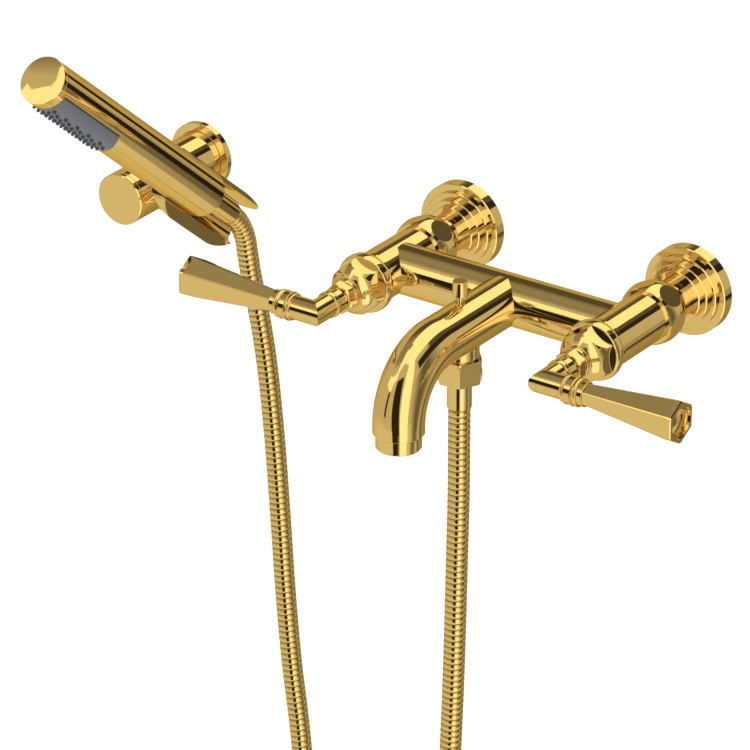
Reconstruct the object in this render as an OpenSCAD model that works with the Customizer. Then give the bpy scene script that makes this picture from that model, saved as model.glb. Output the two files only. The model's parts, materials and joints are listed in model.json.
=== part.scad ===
// Wall mounted bath filler: two lever valves on a cross bar, a bent spout with a lift diverter,
// and a stick handset on a hose, held by a swivelling wall bracket.
// Origin: on the wall, midway between the two inlets. +X right, +Y into the wall, +Z up.
// "Reach" is always the distance out from the wall.

/* [Layout] */
// Distance between the two inlets, centre to centre
inlet_pitch = 180; // [150:1:230]
// Reach of the cross bar's axis
bar_reach = 85; // [80:1:90]
// Reach of the lever axes
lever_reach = 176; // [174:1:190]
// Reach of the diverter and the hose outlet
outlet_reach = 140; // [125:1:145]
// Reach of the spout's mouth
spout_reach = 209.6; // [200:1:230]
// Height of the spout's tube end below the bar's axis
spout_drop = 47.5; // [46:0.5:70]

/* [Tubes] */
// Outer diameter of the cross bar
bar_d = 34.6; // [32:0.2:35]
// Outer diameter of the valve bodies
body_d = 35.2; // [34:0.2:36]
// Outer diameter of the spout
spout_d = 34.2; // [32:0.2:34.6]
// Wall thickness of the spout tube
spout_wall = 2.6; // [2:0.1:3]
// Centreline radius of the spout's bend
bend_r = 42; // [36:1:45]
// Diameter of the waterway in the cross bar
bar_way_d = 18; // [12:1:20]

/* [Wall connections] */
// Diameter of each escutcheon
esc_d = 62; // [58:1:70]
// Thickness of the escutcheon's rim
esc_rim = 9.2; // [6:0.2:10]
// Outer diameter of the threaded inlet tails, G1/2
thread_d = 20.8; // [20:0.1:21]
// Length of thread that enters the wall fitting
thread_length = 14; // [10:1:20]
// Diameter of the visible tail
tail_d = 28; // [26:0.5:29]
// Waterway through a tail
tail_way_d = 15; // [10:1:16]

/* [Valves] */
// Ball diameter of the union nuts
union_ball_d = 43.4; // [42:0.2:46]
// Width across the union nuts' flats
union_flats = 40; // [39:0.5:41]
// Ball diameter of the bonnets
bonnet_ball_d = 38; // [37:0.2:40]
// Width across the bonnets' flats
bonnet_flats = 32.8; // [32:0.2:34]
// Diameter of the bonnets' crowned collars
crown_d = 41.6; // [40:0.2:44]
// Diameter of the cartridges
cartridge_d = 21.8; // [20:0.2:23]
// Diameter of the spindles
spindle_d = 9; // [7:0.5:10]
// Width across the gland nuts' flats
gland_flats = 19; // [18:0.5:20]

/* [Levers] */
// Outer diameter of the elbow tubes
elbow_d = 16.2; // [15:0.2:17]
// Length of a lever from the valve's axis to its tip
lever_length = 101.75; // [90:0.25:115]
// Corner to corner width of the lever at its tip
lever_tip_w = 30; // [26:0.5:32]
// Corner to corner width of the lever at its root
lever_root_w = 16; // [14:0.5:16]
// Diameter of the button in the lever's end
button_d = 22; // [16:0.5:23]

/* [Diverter] */
// Diameter of the diverter's rod
rod_d = 3.6; // [3:0.2:4]
// Diameter of the diverter's knob
knob_d = 10.2; // [9:0.2:13]
// How far the diverter lifts
diverter_lift = 8; // [6:0.5:8]

/* [Hose] */
// Outer diameter of the hose
hose_d = 14.9; // [13:0.1:15]
// Outer diameter of the hose's end sleeves
sleeve_d = 16.5; // [16:0.1:18]
// Width across the flats of the hose nut
hose_nut_flats = 26.6; // [26:0.2:28]

/* [Handset] */
// Diameter of the handset
handset_d = 33.5; // [30:0.5:34]
// Length of the handset's barrel with its end cap
handset_length = 222; // [200:1:240]
// Tilt of the handset above the horizontal
handset_tilt = 39.7; // [35:0.1:45]
// Wall thickness of the handset's barrel
handset_wall = 2; // [1.5:0.1:2.5]
// Number of nozzle rows along the spray face
nozzle_rows = 10; // [8:1:10]

/* [Bracket] */
// Diameter of the arm, the hub and the clamp knob
arm_d = 37; // [34:0.5:38]
// Diameter of the bracket's wall flange
flange_d = 49; // [46:0.5:54]
// Thickness of the bracket's wall flange
flange_t = 5; // [4:0.2:7]
// Distance of the bracket's axis to the left of the origin
bracket_offset = 311.5; // [305:0.5:320]
// Distance from the arm's axis to the handset's axis
cradle_offset = 54.5; // [52:0.5:58]
// Length of the clamp knob
clamp_length = 25.5; // [20:0.5:28]
// Distance between the two wall screws of the bracket
screw_pitch = 22; // [20:0.5:24]

/* [Clearances] */
// Radial running clearance of the turning and sliding shafts
run_gap = 0.05; // [0.02:0.01:0.08]
// Gap between faces that move past each other
face_gap = 0.3; // [0.2:0.05:0.5]
// Radial gap of parts that are screwed or pushed together
fit_gap = 0.05; // [0.02:0.01:0.1]

/* [Hidden] */
$fn = 96;

half_pitch = inlet_pitch / 2;
big = 400;
cut = 1;

// Finishes
gold = [0.78, 0.62, 0.30];
steel = [0.62, 0.63, 0.65];
grey = [0.45, 0.45, 0.46];
black = [0.12, 0.12, 0.12];
white = [0.92, 0.91, 0.88];

// Escutcheon: each tier's radius and the reach of its front, behind which the shell is hollow
esc_tiers = [[esc_d / 2, esc_rim], [esc_d / 2 - 5.3, 12], [esc_d / 2 - 9.6, 16], [esc_d / 2 - 13, 20]];
esc_wall = 2.4;
esc_chamfer = 0.6;
esc_front = esc_tiers[3][1];

// Union
union_back = 31;
union_front = 54.5;
union_centre = 46.5;
union_seat = 35;
union_thread_d = 31.6;
union_turn = 18;
washer_t = 1.6;
washer_edge = 0.6;
washer_lip = 1;
tail_flange_t = 2.6;
body_start = union_seat + tail_flange_t + washer_t;

// Valve body and bonnet
body_end = 110.2;
body_ring_d = body_d + 2.4;
body_ring_t = 3.6;
bonnet_start = body_end + body_ring_t;
bonnet_spigot = 8;
bonnet_spigot_d = 27;
crown_end = 122.5;
bonnet_centre = 124.5;
bonnet_end = 140;
bonnet_rim_d = 21.6;
bonnet_rim_t = 3;
bonnet_turn = 30;
bar_hole_r = spout_d / 2 - spout_wall - 2;
gland_back = bonnet_end + bonnet_rim_t;
gland_t = 7;
gland_front = gland_back + gland_t;
gland_thread_d = 12;
gland_depth = 11;
body_way_d = tail_way_d;

// Ceramic cartridge
cartridge_back = 72;
cartridge_front = 126;
cartridge_floor = 2;
cartridge_bore_d = 17.2;
cartridge_neck = 100;
disc_t = 3;
port_d = 5;
port_offset = 4.4;
outlet_port_d = 8;
outlet_port_reach = bar_reach + 4;
foot_t = 4;

// Elbow and lever, measured outward from the valve's axis
neck_start = gland_front + face_gap;
neck_d = elbow_d + 0.4;
neck_ring_end = lever_reach - 14;
neck_ring_start = neck_ring_end - 4;
neck_ring_d = 18.6;
collar_start = 15.5;
collar_end = 28;
lever_start = collar_end;
lever_waist = 32;
lever_root_r = 8.3;
lever_band = 3.75;
lever_stud_d = 10;
lever_stud_length = 10;
button_depth = 2;
set_screw_d = 4;
set_screw_reach = lever_reach - 9.5;
set_screw_key = 2;
dome_r = 19.4;
dome_h = 2.4;
lever_chamfer = 0.6;

// Spout
spout_r = spout_d / 2;
spout_bore_r = spout_r - spout_wall;
bend_reach = spout_reach - bend_r;
aerator_h = 10.5;
aerator_d = 30.2;
aerator_low_z = -spout_drop - aerator_h;
aerator_thread = 5;
aerator_bore_d = 25;
aerator_lip_d = 22.4;
aerator_lip_t = 1.5;
aerator_chamfer = 0.8;
aerator_insert_h = 8;
aerator_floor_t = 3;
aerator_seal_t = 2;
aerator_hole_d = 2.6;
aerator_hole_pitch = 3.2;

// Diverter, heights from the bar's axis
nipple_d = 26;
nipple_collar_z = -19.4;
nipple_seat_z = -16;
sleeve_top_z = 10;
valve_sleeve_d = 19.8;
valve_bore_d = 16;
spool_h = 5;
spool_rest_z = nipple_seat_z + 0.2;
knob_z = 22.6;
knob_h = 11;
bush_d = 6.4;
bush_top_z = 17.8;
bush_bottom_z = 13;
valve_cap_t = 2;
window_w = 10;
window_low_z = nipple_seat_z + 3;
window_high_z = spool_rest_z + spool_h + diverter_lift - 3.5;
knob_bore = 6;
nipple_way_d = valve_bore_d - 3;
nipple_top_z = -4;
check_h = 10;

// Hose connection under the spout
hose_nut_top = -23;
hose_nut_bottom = -43.4;
hose_sleeve_end = -57.3;
nipple_thread_end = -33;
hose_washer_t = 2;
hose_flange_t = 3;
hose_way_d = 9;
hose_nut_ball_d = 34.4;
hose_nut_turn = 5;
hose_collar_d = sleeve_d - 1.2;

// Bracket reaches
plate_t = 4;
plate_boss_d = 14;
plate_boss_end = 28;
arm_end = 44;
swivel_washer_t = 0.9;
hub_start = arm_end + swivel_washer_t;
hub_end = 70.7;
clamp_start = hub_end + face_gap;
clamp_groove = 4.6;
stud_d = 8;
stud_back = 32;
stud_front = 88;
bracket_z = -4.4;
neck_w = 24.8;
neck_h = 33;
neck_round = 8;
neck_end = 12;
screw_d = 4.2;
screw_head_d = 7.6;
screw_head_t = 2.4;
screw_length = 14;
screw_neck_d = 5;
plate_edge = 2.6;

// Handset frame: z runs up the barrel from its tail end, y is square to it, up and to the wall
tail_reach = 73.5;
tail_z = 5.9;
handset_x = cradle_offset - bracket_offset;
handset_r = handset_d / 2;
handset_bore_r = handset_r - handset_wall;
cap_t = 3.2;
cap_crown = 1.3;
spray_end = handset_length - 6;
spray_length = 83;
spray_start = spray_end - spray_length;
spray_cut_y = -6;
spray_round = 20;
spray_t = 1.6;
nozzle_pitch = 7.6;
nozzle_d = 2.4;
nozzle_h = 1.5;
inlet_z = 14;
inlet_t = 8;
cone_length = 38;
cone_seat_z = 1.5;
cone_thread_z = 4.5;
cone_root_z = -2;
cone_thread_d = 26;
cone_root_d = 19.2;
cone_end_d = 18;

// Cradle trough in the handset's frame
trough_gap = 0.65;
trough_r = handset_r + trough_gap;
trough_face_x = -5;
trough_outer_r = 26;
trough_centre_x = 7;
trough_centre_y = -3.3;
ledge_r = 14.4;
ledge_t = 4;

// Route of the hose's centreline from the sleeve under the spout to the handset's cone
hose_route = [
  [0, -140, -57.3], [0, -140, -80], [0, -140, -120], [-1, -140, -170], [-2, -140, -220], [-4, -139, -270],
  [-8, -137, -340], [-14, -133, -415], [-21, -128, -490], [-26, -125, -557], [-31, -122, -614], [-40, -117, -662],
  [-58, -107, -698], [-85, -92, -721], [-117, -74, -729], [-149, -56, -721], [-176, -41, -698], [-194, -30, -662],
  [-203, -24, -614], [-208, -21, -557], [-213, -18, -495], [-220, -16, -430], [-227, -16, -375], [-232, -16, -320],
  [-236, -16, -260], [-240, -16, -205], [-245, -16, -155], [-249, -17, -122], [-253, -19, -94], [-256, -21, -74],
  [-257, -22.9, -59], [-257, -26.3, -43.7], [-257, -33.6, -29.9], [-257, -44.22, -18.41]
];
hose_ring = 26;
hose_sides = 12;

// A shape drawn along +Z, set out from the wall at x
module from_wall(x = 0, z = 0) {
  translate([x, 0, z]) rotate([90, 0, 0]) children();
}

// The same at one of the valves; the cold side is drawn, the hot side is its mirror image
module at_valve(side) {
  mirror([side < 0 ? 1 : 0, 0, 0]) from_wall(half_pitch) children();
}

// A turned piece from [radius, height] points
module lathe(points) {
  rotate_extrude() polygon(points);
}

// A disc between two heights with both rims chamfered
module chamfered_disc(r, z0, z1, c) {
  lathe([[0, z0], [r - c, z0], [r, z0 + c], [r, z1 - c], [r - c, z1], [0, z1]]);
}

// A bore between two heights
module bore(r, z0, z1) {
  translate([0, 0, z0]) cylinder(r = r, h = z1 - z0);
}

// A hexagonal bar between two heights; its flats face 30, 90, 150 degrees
module hexagon_bar(flats, z0, z1) {
  translate([0, 0, z0]) cylinder(r = flats / 2 / cos(30), h = z1 - z0, $fn = 6);
}

// Points of a convex rim of radius r between two heights, bulging by b
function rim(r, z0, z1, b, n = 8) =
  [for (i = [0:n]) [r - b + b * sin(180 * i / n), z0 + (z1 - z0) * (1 - cos(180 * i / n)) / 2]];

// Everything on the wall's side of the elbow's mitre, and everything beyond it
module wall_side_of_mitre() {
  translate([0, 0, lever_reach]) rotate([0, 45, 0]) translate([-big / 2, -big / 2, -big]) cube(big);
}

module lever_side_of_mitre() {
  translate([0, 0, lever_reach]) rotate([0, 45, 0]) translate([-big / 2, -big / 2, 0]) cube(big);
}

// A shape drawn along +Z, laid along the lever
module along_lever() {
  translate([0, 0, lever_reach]) rotate([0, 90, 0]) children();
}

// ---- Cross bar and spout

module cross_bar() {
  color(gold) difference() {
    from_wall() translate([-half_pitch, 0, bar_reach]) rotate([0, 90, 0]) cylinder(d = bar_d, h = inlet_pitch);
    from_wall() translate([-half_pitch - cut, 0, bar_reach]) rotate([0, 90, 0])
      cylinder(d = bar_way_d, h = inlet_pitch + 2 * cut);
    for (side = [-1, 1]) at_valve(side) bore(body_d / 2, bar_reach - body_d, bar_reach + body_d);
    from_wall() bore(bar_hole_r, bar_reach, bar_reach + bar_d);
  }
}

module spout_solid(r, tail) {
  from_wall() bore(r, bar_reach, bend_reach);
  translate([0, -bend_reach, -bend_r]) rotate([90, 0, -90]) rotate_extrude(angle = 90) translate([bend_r, 0]) circle(r);
  translate([0, -spout_reach, -spout_drop - tail]) cylinder(r = r, h = spout_drop + tail - bend_r);
}

module spout() {
  color(gold) difference() {
    spout_solid(spout_r, 0);
    spout_solid(spout_bore_r, cut);
    from_wall() translate([-half_pitch, 0, bar_reach]) rotate([0, 90, 0]) cylinder(d = bar_d, h = inlet_pitch);
    translate([0, -outlet_reach, -spout_d]) cylinder(d = valve_sleeve_d + 2 * fit_gap, h = spout_d);
    translate([0, -outlet_reach, 0]) cylinder(d = bush_d + 2 * fit_gap, h = spout_d);
  }
}

// ---- Wall connections

module escutcheon(side) {
  color(gold) at_valve(side) difference() {
    union() {
      for (i = [0:3])
        chamfered_disc(esc_tiers[i][0], i == 0 ? 0 : esc_tiers[i - 1][1] - cut, esc_tiers[i][1], esc_chamfer);
    }
    for (i = [0:3]) bore(esc_tiers[i][0] - esc_wall, -cut, esc_tiers[i][1] - esc_wall);
    bore(tail_d / 2 + fit_gap, 0, esc_front + cut);
  }
}

module union_tail(side) {
  color(gold) at_valve(side) lathe([
    [tail_way_d / 2, -thread_length], [thread_d / 2 - 1, -thread_length], [thread_d / 2, 1 - thread_length],
    [thread_d / 2, 0], [thread_d / 2 + 2, 2], [tail_d / 2, 6], [tail_d / 2, union_seat],
    [union_thread_d / 2 - 2 * fit_gap, union_seat], [union_thread_d / 2 - 2 * fit_gap, union_seat + tail_flange_t],
    [tail_way_d / 2, union_seat + tail_flange_t]
  ]);
}

module union_nut(side) {
  color(gold) at_valve(side) difference() {
    intersection() {
      translate([0, 0, union_centre]) sphere(d = union_ball_d);
      rotate([0, 0, union_turn]) hexagon_bar(union_flats, union_back, union_front);
    }
    bore(tail_d / 2 + fit_gap, union_back - cut, union_seat + cut);
    bore(union_thread_d / 2 + fit_gap, union_seat, union_front + cut);
  }
}

module union_washers() {
  color(black) for (side = [-1, 1]) at_valve(side) difference() {
    bore(union_thread_d / 2 - washer_edge, union_seat + tail_flange_t, body_start);
    bore(tail_way_d / 2 + washer_lip, union_seat, body_start + cut);
  }
}

// ---- Valves

module valve_body(side) {
  color(gold) at_valve(side) difference() {
    union() {
      bore(union_thread_d / 2, body_start, union_front + cut);
      bore(body_d / 2, union_front, body_end);
      chamfered_disc(body_ring_d / 2, body_end, bonnet_start, 0.5);
    }
    bore(body_way_d / 2, body_start - cut, cartridge_back + cut);
    bore(cartridge_d / 2 + fit_gap, cartridge_back, bonnet_start + cut);
    bore(bonnet_spigot_d / 2 + fit_gap, bonnet_start - bonnet_spigot - fit_gap, bonnet_start + cut);
    translate([0, 0, bar_reach]) rotate([0, -90, 0]) cylinder(d = bar_way_d, h = body_d);
  }
}

module bonnet(side) {
  color(gold) at_valve(side) difference() {
    union() {
      bore(bonnet_spigot_d / 2, bonnet_start - bonnet_spigot, bonnet_start + cut);
      lathe(concat([[0, bonnet_start]], rim(crown_d / 2, bonnet_start, crown_end, 1.9), [[0, crown_end]]));
      intersection() {
        translate([0, 0, bonnet_centre]) sphere(d = bonnet_ball_d);
        rotate([0, 0, bonnet_turn]) hexagon_bar(bonnet_flats, crown_end - cut, bonnet_end);
      }
      lathe(concat([[0, bonnet_end]], rim(bonnet_rim_d / 2, bonnet_end, gland_back, 0.9), [[0, gland_back]]));
    }
    bore(cartridge_d / 2 + fit_gap, bonnet_start - bonnet_spigot - cut, cartridge_front + fit_gap);
    bore(gland_thread_d / 2 + fit_gap, cartridge_front, gland_back + cut);
  }
}

module cartridge(side) {
  color(steel) at_valve(side) difference() {
    bore(cartridge_d / 2, cartridge_back, cartridge_front);
    bore(cartridge_bore_d / 2, cartridge_back + cartridge_floor, cartridge_neck);
    bore(spindle_d / 2 + run_gap, cartridge_neck - cut, cartridge_front + cut);
    for (x = [-port_offset, port_offset]) translate([x, 0, 0]) 
      bore(port_d / 2, cartridge_back - cut, cartridge_back + cartridge_floor + cut);
    translate([-cartridge_d, 0, outlet_port_reach]) rotate([0, 90, 0]) cylinder(d = outlet_port_d, h = 2 * cartridge_d);
  }
}

module disc(z, turn) {
  rotate([0, 0, turn]) difference() {
    bore(cartridge_bore_d / 2 - run_gap, z, z + disc_t);
    for (x = [-port_offset, port_offset]) translate([x, 0, 0]) bore(port_d / 2, z - cut, z + disc_t + cut);
  }
}

module fixed_discs() {
  color(white) for (side = [-1, 1]) at_valve(side) disc(cartridge_back + cartridge_floor, 0);
}

// At rest the valve is shut, with the moving disc's ports a quarter turn from the fixed one's
module moving_disc(side) {
  color(white) at_valve(side) disc(cartridge_back + cartridge_floor + disc_t + run_gap, 90);
}

module spindle(side) {
  foot = cartridge_back + cartridge_floor + 2 * disc_t + run_gap;
  color(steel) at_valve(side) lathe([
    [0, foot], [cartridge_bore_d / 2 - 1, foot], [cartridge_bore_d / 2 - 1, foot + foot_t],
    [spindle_d / 2, foot + foot_t], [spindle_d / 2, lever_reach - elbow_d / 2 - 1],
    [spindle_d / 2 - 1, lever_reach - elbow_d / 2], [0, lever_reach - elbow_d / 2]
  ]);
}

module gland_nut(side) {
  color(gold) at_valve(side) difference() {
    union() {
      bore(gland_thread_d / 2, gland_back - gland_depth, gland_back + cut);
      intersection() {
        hexagon_bar(gland_flats, gland_back, gland_front);
        chamfered_disc(gland_flats / 2 + 1.2, gland_back, gland_front, 0.9);
      }
    }
    bore(spindle_d / 2 + run_gap, gland_back - gland_depth - cut, gland_front + cut);
  }
}

// ---- Levers

module elbow(side) {
  color(gold) at_valve(side) difference() {
    union() {
      bore(neck_d / 2, neck_start, neck_ring_start + cut);
      lathe(concat([[0, neck_ring_start]], rim(neck_ring_d / 2, neck_ring_start, neck_ring_end, 1), [[0, neck_ring_end]]));
      intersection() {
        bore(elbow_d / 2, neck_ring_end - cut, lever_reach + elbow_d);
        wall_side_of_mitre();
      }
      intersection() {
        along_lever() bore(elbow_d / 2, -elbow_d, collar_start);
        lever_side_of_mitre();
      }
      along_lever() bore(lever_stud_d / 2, 0, lever_start + lever_stud_length);
    }
    bore(spindle_d / 2 + fit_gap, neck_start - cut, lever_reach - elbow_d / 2 + fit_gap);
    translate([0, 0, set_screw_reach]) rotate([90, 0, 0]) cylinder(d = set_screw_d + 2 * fit_gap, h = elbow_d);
  }
}

module set_screw(side) {
  color(steel) at_valve(side) translate([0, 0, set_screw_reach]) rotate([90, 0, 0]) difference() {
    bore(set_screw_d / 2, spindle_d / 2 + fit_gap, elbow_d / 2 - 0.4);
    hexagon_bar(set_screw_key, elbow_d / 2 - set_screw_key, elbow_d / 2 + cut);
  }
}

module collar(side) {
  color(gold) at_valve(side) along_lever() difference() {
    union() {
      lathe(concat([[0, collar_start]], rim(9.3, collar_start, collar_start + 2.5, 0.8), [[0, collar_start + 2.5]]));
      bore(8.6, collar_start + 2, collar_start + 4);
      lathe(concat([[0, collar_start + 3]], rim(10.2, collar_start + 3, collar_start + 8.4, 1.3), [[0, collar_start + 8.4]]));
      bore(8.9, collar_start + 8, collar_end - 2.6);
      lathe(concat([[0, collar_end - 3.2]], rim(9.6, collar_end - 3.2, collar_end, 0.8), [[0, collar_end]]));
    }
    bore(lever_stud_d / 2 + fit_gap, collar_start - cut, collar_end + cut);
  }
}

module lever(side) {
  tip = lever_length;
  flare = tip - lever_band - lever_waist;
  color(gold) at_valve(side) along_lever() difference() {
    union() {
      chamfered_disc(lever_root_r, lever_start, lever_waist, lever_chamfer);
      rotate([0, 0, 30]) translate([0, 0, lever_waist - lever_chamfer])
        cylinder(d1 = lever_root_w, d2 = lever_tip_w, h = flare + lever_chamfer, $fn = 6);
      rotate([0, 0, 30]) translate([0, 0, lever_waist + flare]) cylinder(d = lever_tip_w, h = lever_band - lever_chamfer, $fn = 6);
      rotate([0, 0, 30]) translate([0, 0, tip - lever_chamfer])
        cylinder(d1 = lever_tip_w, d2 = lever_tip_w - 2 * lever_chamfer, h = lever_chamfer, $fn = 6);
    }
    bore(lever_stud_d / 2 + fit_gap, lever_start - cut, lever_start + lever_stud_length + face_gap);
    bore(button_d / 2 + fit_gap, tip - button_depth, tip + cut);
  }
}

module end_button(side) {
  base = lever_length - button_depth;
  color(gold) at_valve(side) along_lever() difference() {
    union() {
      bore(button_d / 2, base, base + 1);
      intersection() {
        translate([0, 0, base + dome_h - dome_r]) sphere(r = dome_r);
        bore(button_d / 2 - 2, base, base + 3);
      }
    }
    difference() {
      bore(button_d / 2 - 3.6, base + 1.4, base + 4);
      translate([0, 0, base + dome_h - 0.8 - dome_r]) sphere(r = dome_r);
    }
  }
}

// ---- Aerator

module aerator_housing() {
  top = aerator_thread - spout_drop;
  color(gold) translate([0, -spout_reach, 0]) lathe([
    [aerator_bore_d / 2, top], [spout_bore_r - fit_gap, top], [spout_bore_r - fit_gap, -spout_drop],
    [aerator_d / 2, -spout_drop], [aerator_d / 2, aerator_low_z + aerator_chamfer],
    [aerator_d / 2 - aerator_chamfer, aerator_low_z], [aerator_lip_d / 2, aerator_low_z],
    [aerator_lip_d / 2, aerator_low_z + aerator_lip_t], [aerator_bore_d / 2, aerator_low_z + aerator_lip_t]
  ]);
}

module aerator_insert() {
  color(white) translate([0, -spout_reach, aerator_low_z + aerator_lip_t]) difference() {
    cylinder(r = aerator_bore_d / 2 - fit_gap, h = aerator_insert_h);
    translate([0, 0, aerator_floor_t]) cylinder(r = aerator_bore_d / 2 - 1.5, h = aerator_insert_h);
    for (i = [-3:3], j = [-3:3]) {
      x = aerator_hole_pitch * (i + j / 2);
      y = aerator_hole_pitch * j * sin(60);
      if (norm([x, y]) < aerator_bore_d / 2 - 2.5)
        translate([x, y, -cut]) cylinder(d = aerator_hole_d, h = aerator_insert_h, $fn = 6);
    }
  }
}

module aerator_seal() {
  low = aerator_low_z + aerator_lip_t + aerator_insert_h;
  color(black) translate([0, -spout_reach, 0]) difference() {
    bore(aerator_bore_d / 2 - fit_gap, low, low + aerator_seal_t);
    bore(aerator_lip_d / 2 - 1, low - cut, low + aerator_seal_t + cut);
  }
}

// ---- Diverter

module at_outlet() {
  translate([0, -outlet_reach, 0]) children();
}

module diverter_sleeve() {
  color(steel) at_outlet() difference() {
    bore(valve_sleeve_d / 2, nipple_seat_z, sleeve_top_z);
    bore(valve_bore_d / 2, nipple_seat_z - cut, sleeve_top_z - valve_cap_t);
    bore(rod_d / 2 + face_gap, 0, sleeve_top_z + cut);
    translate([-window_w / 2, 0, window_low_z]) cube([window_w, valve_sleeve_d, sleeve_top_z - valve_cap_t - window_low_z]);
    translate([-window_w / 2, -valve_sleeve_d, window_high_z]) cube([window_w, valve_sleeve_d, 4]);
  }
}

module diverter_spool() {
  color(steel) at_outlet() difference() {
    union() {
      bore(valve_bore_d / 2 - run_gap, spool_rest_z, spool_rest_z + spool_h);
      bore(rod_d / 2, spool_rest_z + spool_h - cut, knob_z + knob_bore);
    }
    bore(valve_bore_d / 2 - 3, spool_rest_z - cut, spool_rest_z + 1.5);
  }
}

module diverter_bush() {
  color(gold) at_outlet() difference() {
    bore(bush_d / 2, bush_bottom_z, bush_top_z);
    bore(rod_d / 2 + run_gap, bush_bottom_z - cut, bush_top_z + cut);
  }
}

module diverter_knob() {
  color(gold) at_outlet() difference() {
    chamfered_disc(knob_d / 2, knob_z, knob_z + knob_h, 0.8);
    bore(rod_d / 2 + fit_gap, knob_z - cut, knob_z + knob_bore);
  }
}

module outlet_nipple() {
  color(gold) difference() {
    at_outlet() union() {
      bore(nipple_d / 2, nipple_collar_z, nipple_top_z);
      bore(thread_d / 2, nipple_thread_end, nipple_collar_z + cut);
    }
    from_wall() bore(spout_r, outlet_reach - nipple_d, outlet_reach + nipple_d);
    at_outlet() bore(valve_sleeve_d / 2 + fit_gap, nipple_seat_z, 0);
    at_outlet() bore(nipple_way_d / 2, nipple_thread_end - cut, nipple_seat_z + cut);
  }
}

module check_valve() {
  low = nipple_thread_end + 1;
  color(white) at_outlet() difference() {
    bore(nipple_way_d / 2 - fit_gap, low, low + check_h);
    bore(nipple_way_d / 4, low - cut, low + 2);
    for (a = [0, 120, 240]) rotate([0, 0, a]) translate([nipple_way_d / 4, 0, low + 1])
      cylinder(d = nipple_way_d / 4, h = check_h);
  }
}

// ---- Hose and its ends

module hose_nut() {
  mid = (hose_nut_top + hose_nut_bottom) / 2;
  color(gold) at_outlet() difference() {
    intersection() {
      rotate([0, 0, hose_nut_turn]) hexagon_bar(hose_nut_flats, hose_nut_bottom, hose_nut_top);
      translate([0, 0, mid]) sphere(d = hose_nut_ball_d);
    }
    bore(thread_d / 2 + fit_gap, hose_nut_bottom + hose_flange_t + 2, hose_nut_top + cut);
    bore(hose_collar_d / 2 + fit_gap, hose_nut_bottom - cut, hose_nut_top);
  }
}

module hose_washer() {
  color(black) at_outlet() difference() {
    bore(thread_d / 2 - 0.2, nipple_thread_end - hose_washer_t, nipple_thread_end);
    bore(hose_way_d / 2 + 1, nipple_thread_end - hose_washer_t - cut, nipple_thread_end + cut);
  }
}

module hose_sleeve() {
  flange = nipple_thread_end - hose_washer_t;
  color(gold) at_outlet() lathe([
    [hose_way_d / 2, flange], [thread_d / 2 - 0.2, flange], [thread_d / 2 - 0.2, flange - hose_flange_t],
    [hose_collar_d / 2, flange - hose_flange_t], [hose_collar_d / 2, hose_nut_bottom],
    [sleeve_d / 2, hose_nut_bottom], [sleeve_d / 2, hose_sleeve_end + 0.7], [sleeve_d / 2 - 0.7, hose_sleeve_end],
    [hose_way_d / 2, hose_sleeve_end]
  ]);
}

// Cubic through four points, at t between the middle two
function through(p0, p1, p2, p3, t) =
  0.5 * (2 * p1 + (p2 - p0) * t + (2 * p0 - 5 * p1 + 4 * p2 - p3) * t * t + (3 * p1 - p0 - 3 * p2 + p3) * t * t * t);

// A point of the route, which carries on straight past either end
function route_point(route, i) =
  i < 0 ? 2 * route[0] - route[1] :
  i < len(route) ? route[i] : 2 * route[len(route) - 1] - route[len(route) - 2];

// The route's points with more put between them, about one per hose_ring of length
function smooth(route) = [
  for (i = [0:len(route) - 2])
    let (steps = max(1, ceil(norm(route[i + 1] - route[i]) / hose_ring)))
      for (k = [0:steps - 1])
        through(route_point(route, i - 1), route[i], route[i + 1], route_point(route, i + 2), k / steps),
  route[len(route) - 1]
];

function unit(v) = v / norm(v);

// Direction of a path at each point; the two ends are square to the sleeve and the cone
function direction(path, i, first, last) =
  i == 0 ? first : i == len(path) - 1 ? last : unit(path[i + 1] - path[i - 1]);

// A side vector carried along the path without twisting
function carry(path, first, last, i = 0, side = [1, 0, 0]) =
  i == len(path) ? [] :
  let (d = direction(path, i, first, last), s = unit(side - (side * d) * d))
    concat([s], carry(path, first, last, i + 1, s));

// One tube swept along the path
module swept_tube(path, r, sides, first, last) {
  side = carry(path, first, last);
  n = len(path);
  points = [
    for (i = [0:n - 1])
      let (d = direction(path, i, first, last), u = side[i], v = cross(d, u))
        for (k = [0:sides - 1]) path[i] + r * (cos(360 * k / sides) * u + sin(360 * k / sides) * v)
  ];
  skin = [
    for (i = [0:n - 2], k = [0:sides - 1])
      let (a = i * sides + k, b = i * sides + (k + 1) % sides)
        each [[a, b + sides, b], [a, a + sides, b + sides]]
  ];
  start = [[for (k = [0:sides - 1]) k]];
  end = [[for (k = [sides - 1:-1:0]) (n - 1) * sides + k]];
  polyhedron(points, concat(skin, start, end), convexity = 10);
}

module hose() {
  handset_axis = [0, -cos(handset_tilt), sin(handset_tilt)];
  color(gold) swept_tube(smooth(hose_route), hose_d / 2, hose_sides, [0, 0, -1], handset_axis);
}

// ---- Bracket

module at_bracket() {
  from_wall(-bracket_offset, bracket_z) children();
}

module bracket_plate() {
  color(steel) at_bracket() difference() {
    union() {
      bore(arm_d / 2 - plate_edge, 0, plate_t);
      bore(plate_boss_d / 2, plate_t - cut, plate_boss_end);
    }
    for (y = [-1, 1]) translate([0, y * screw_pitch / 2, 0]) 
      bore(screw_neck_d / 2 + fit_gap, -cut, plate_t + cut);
  }
}

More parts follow.
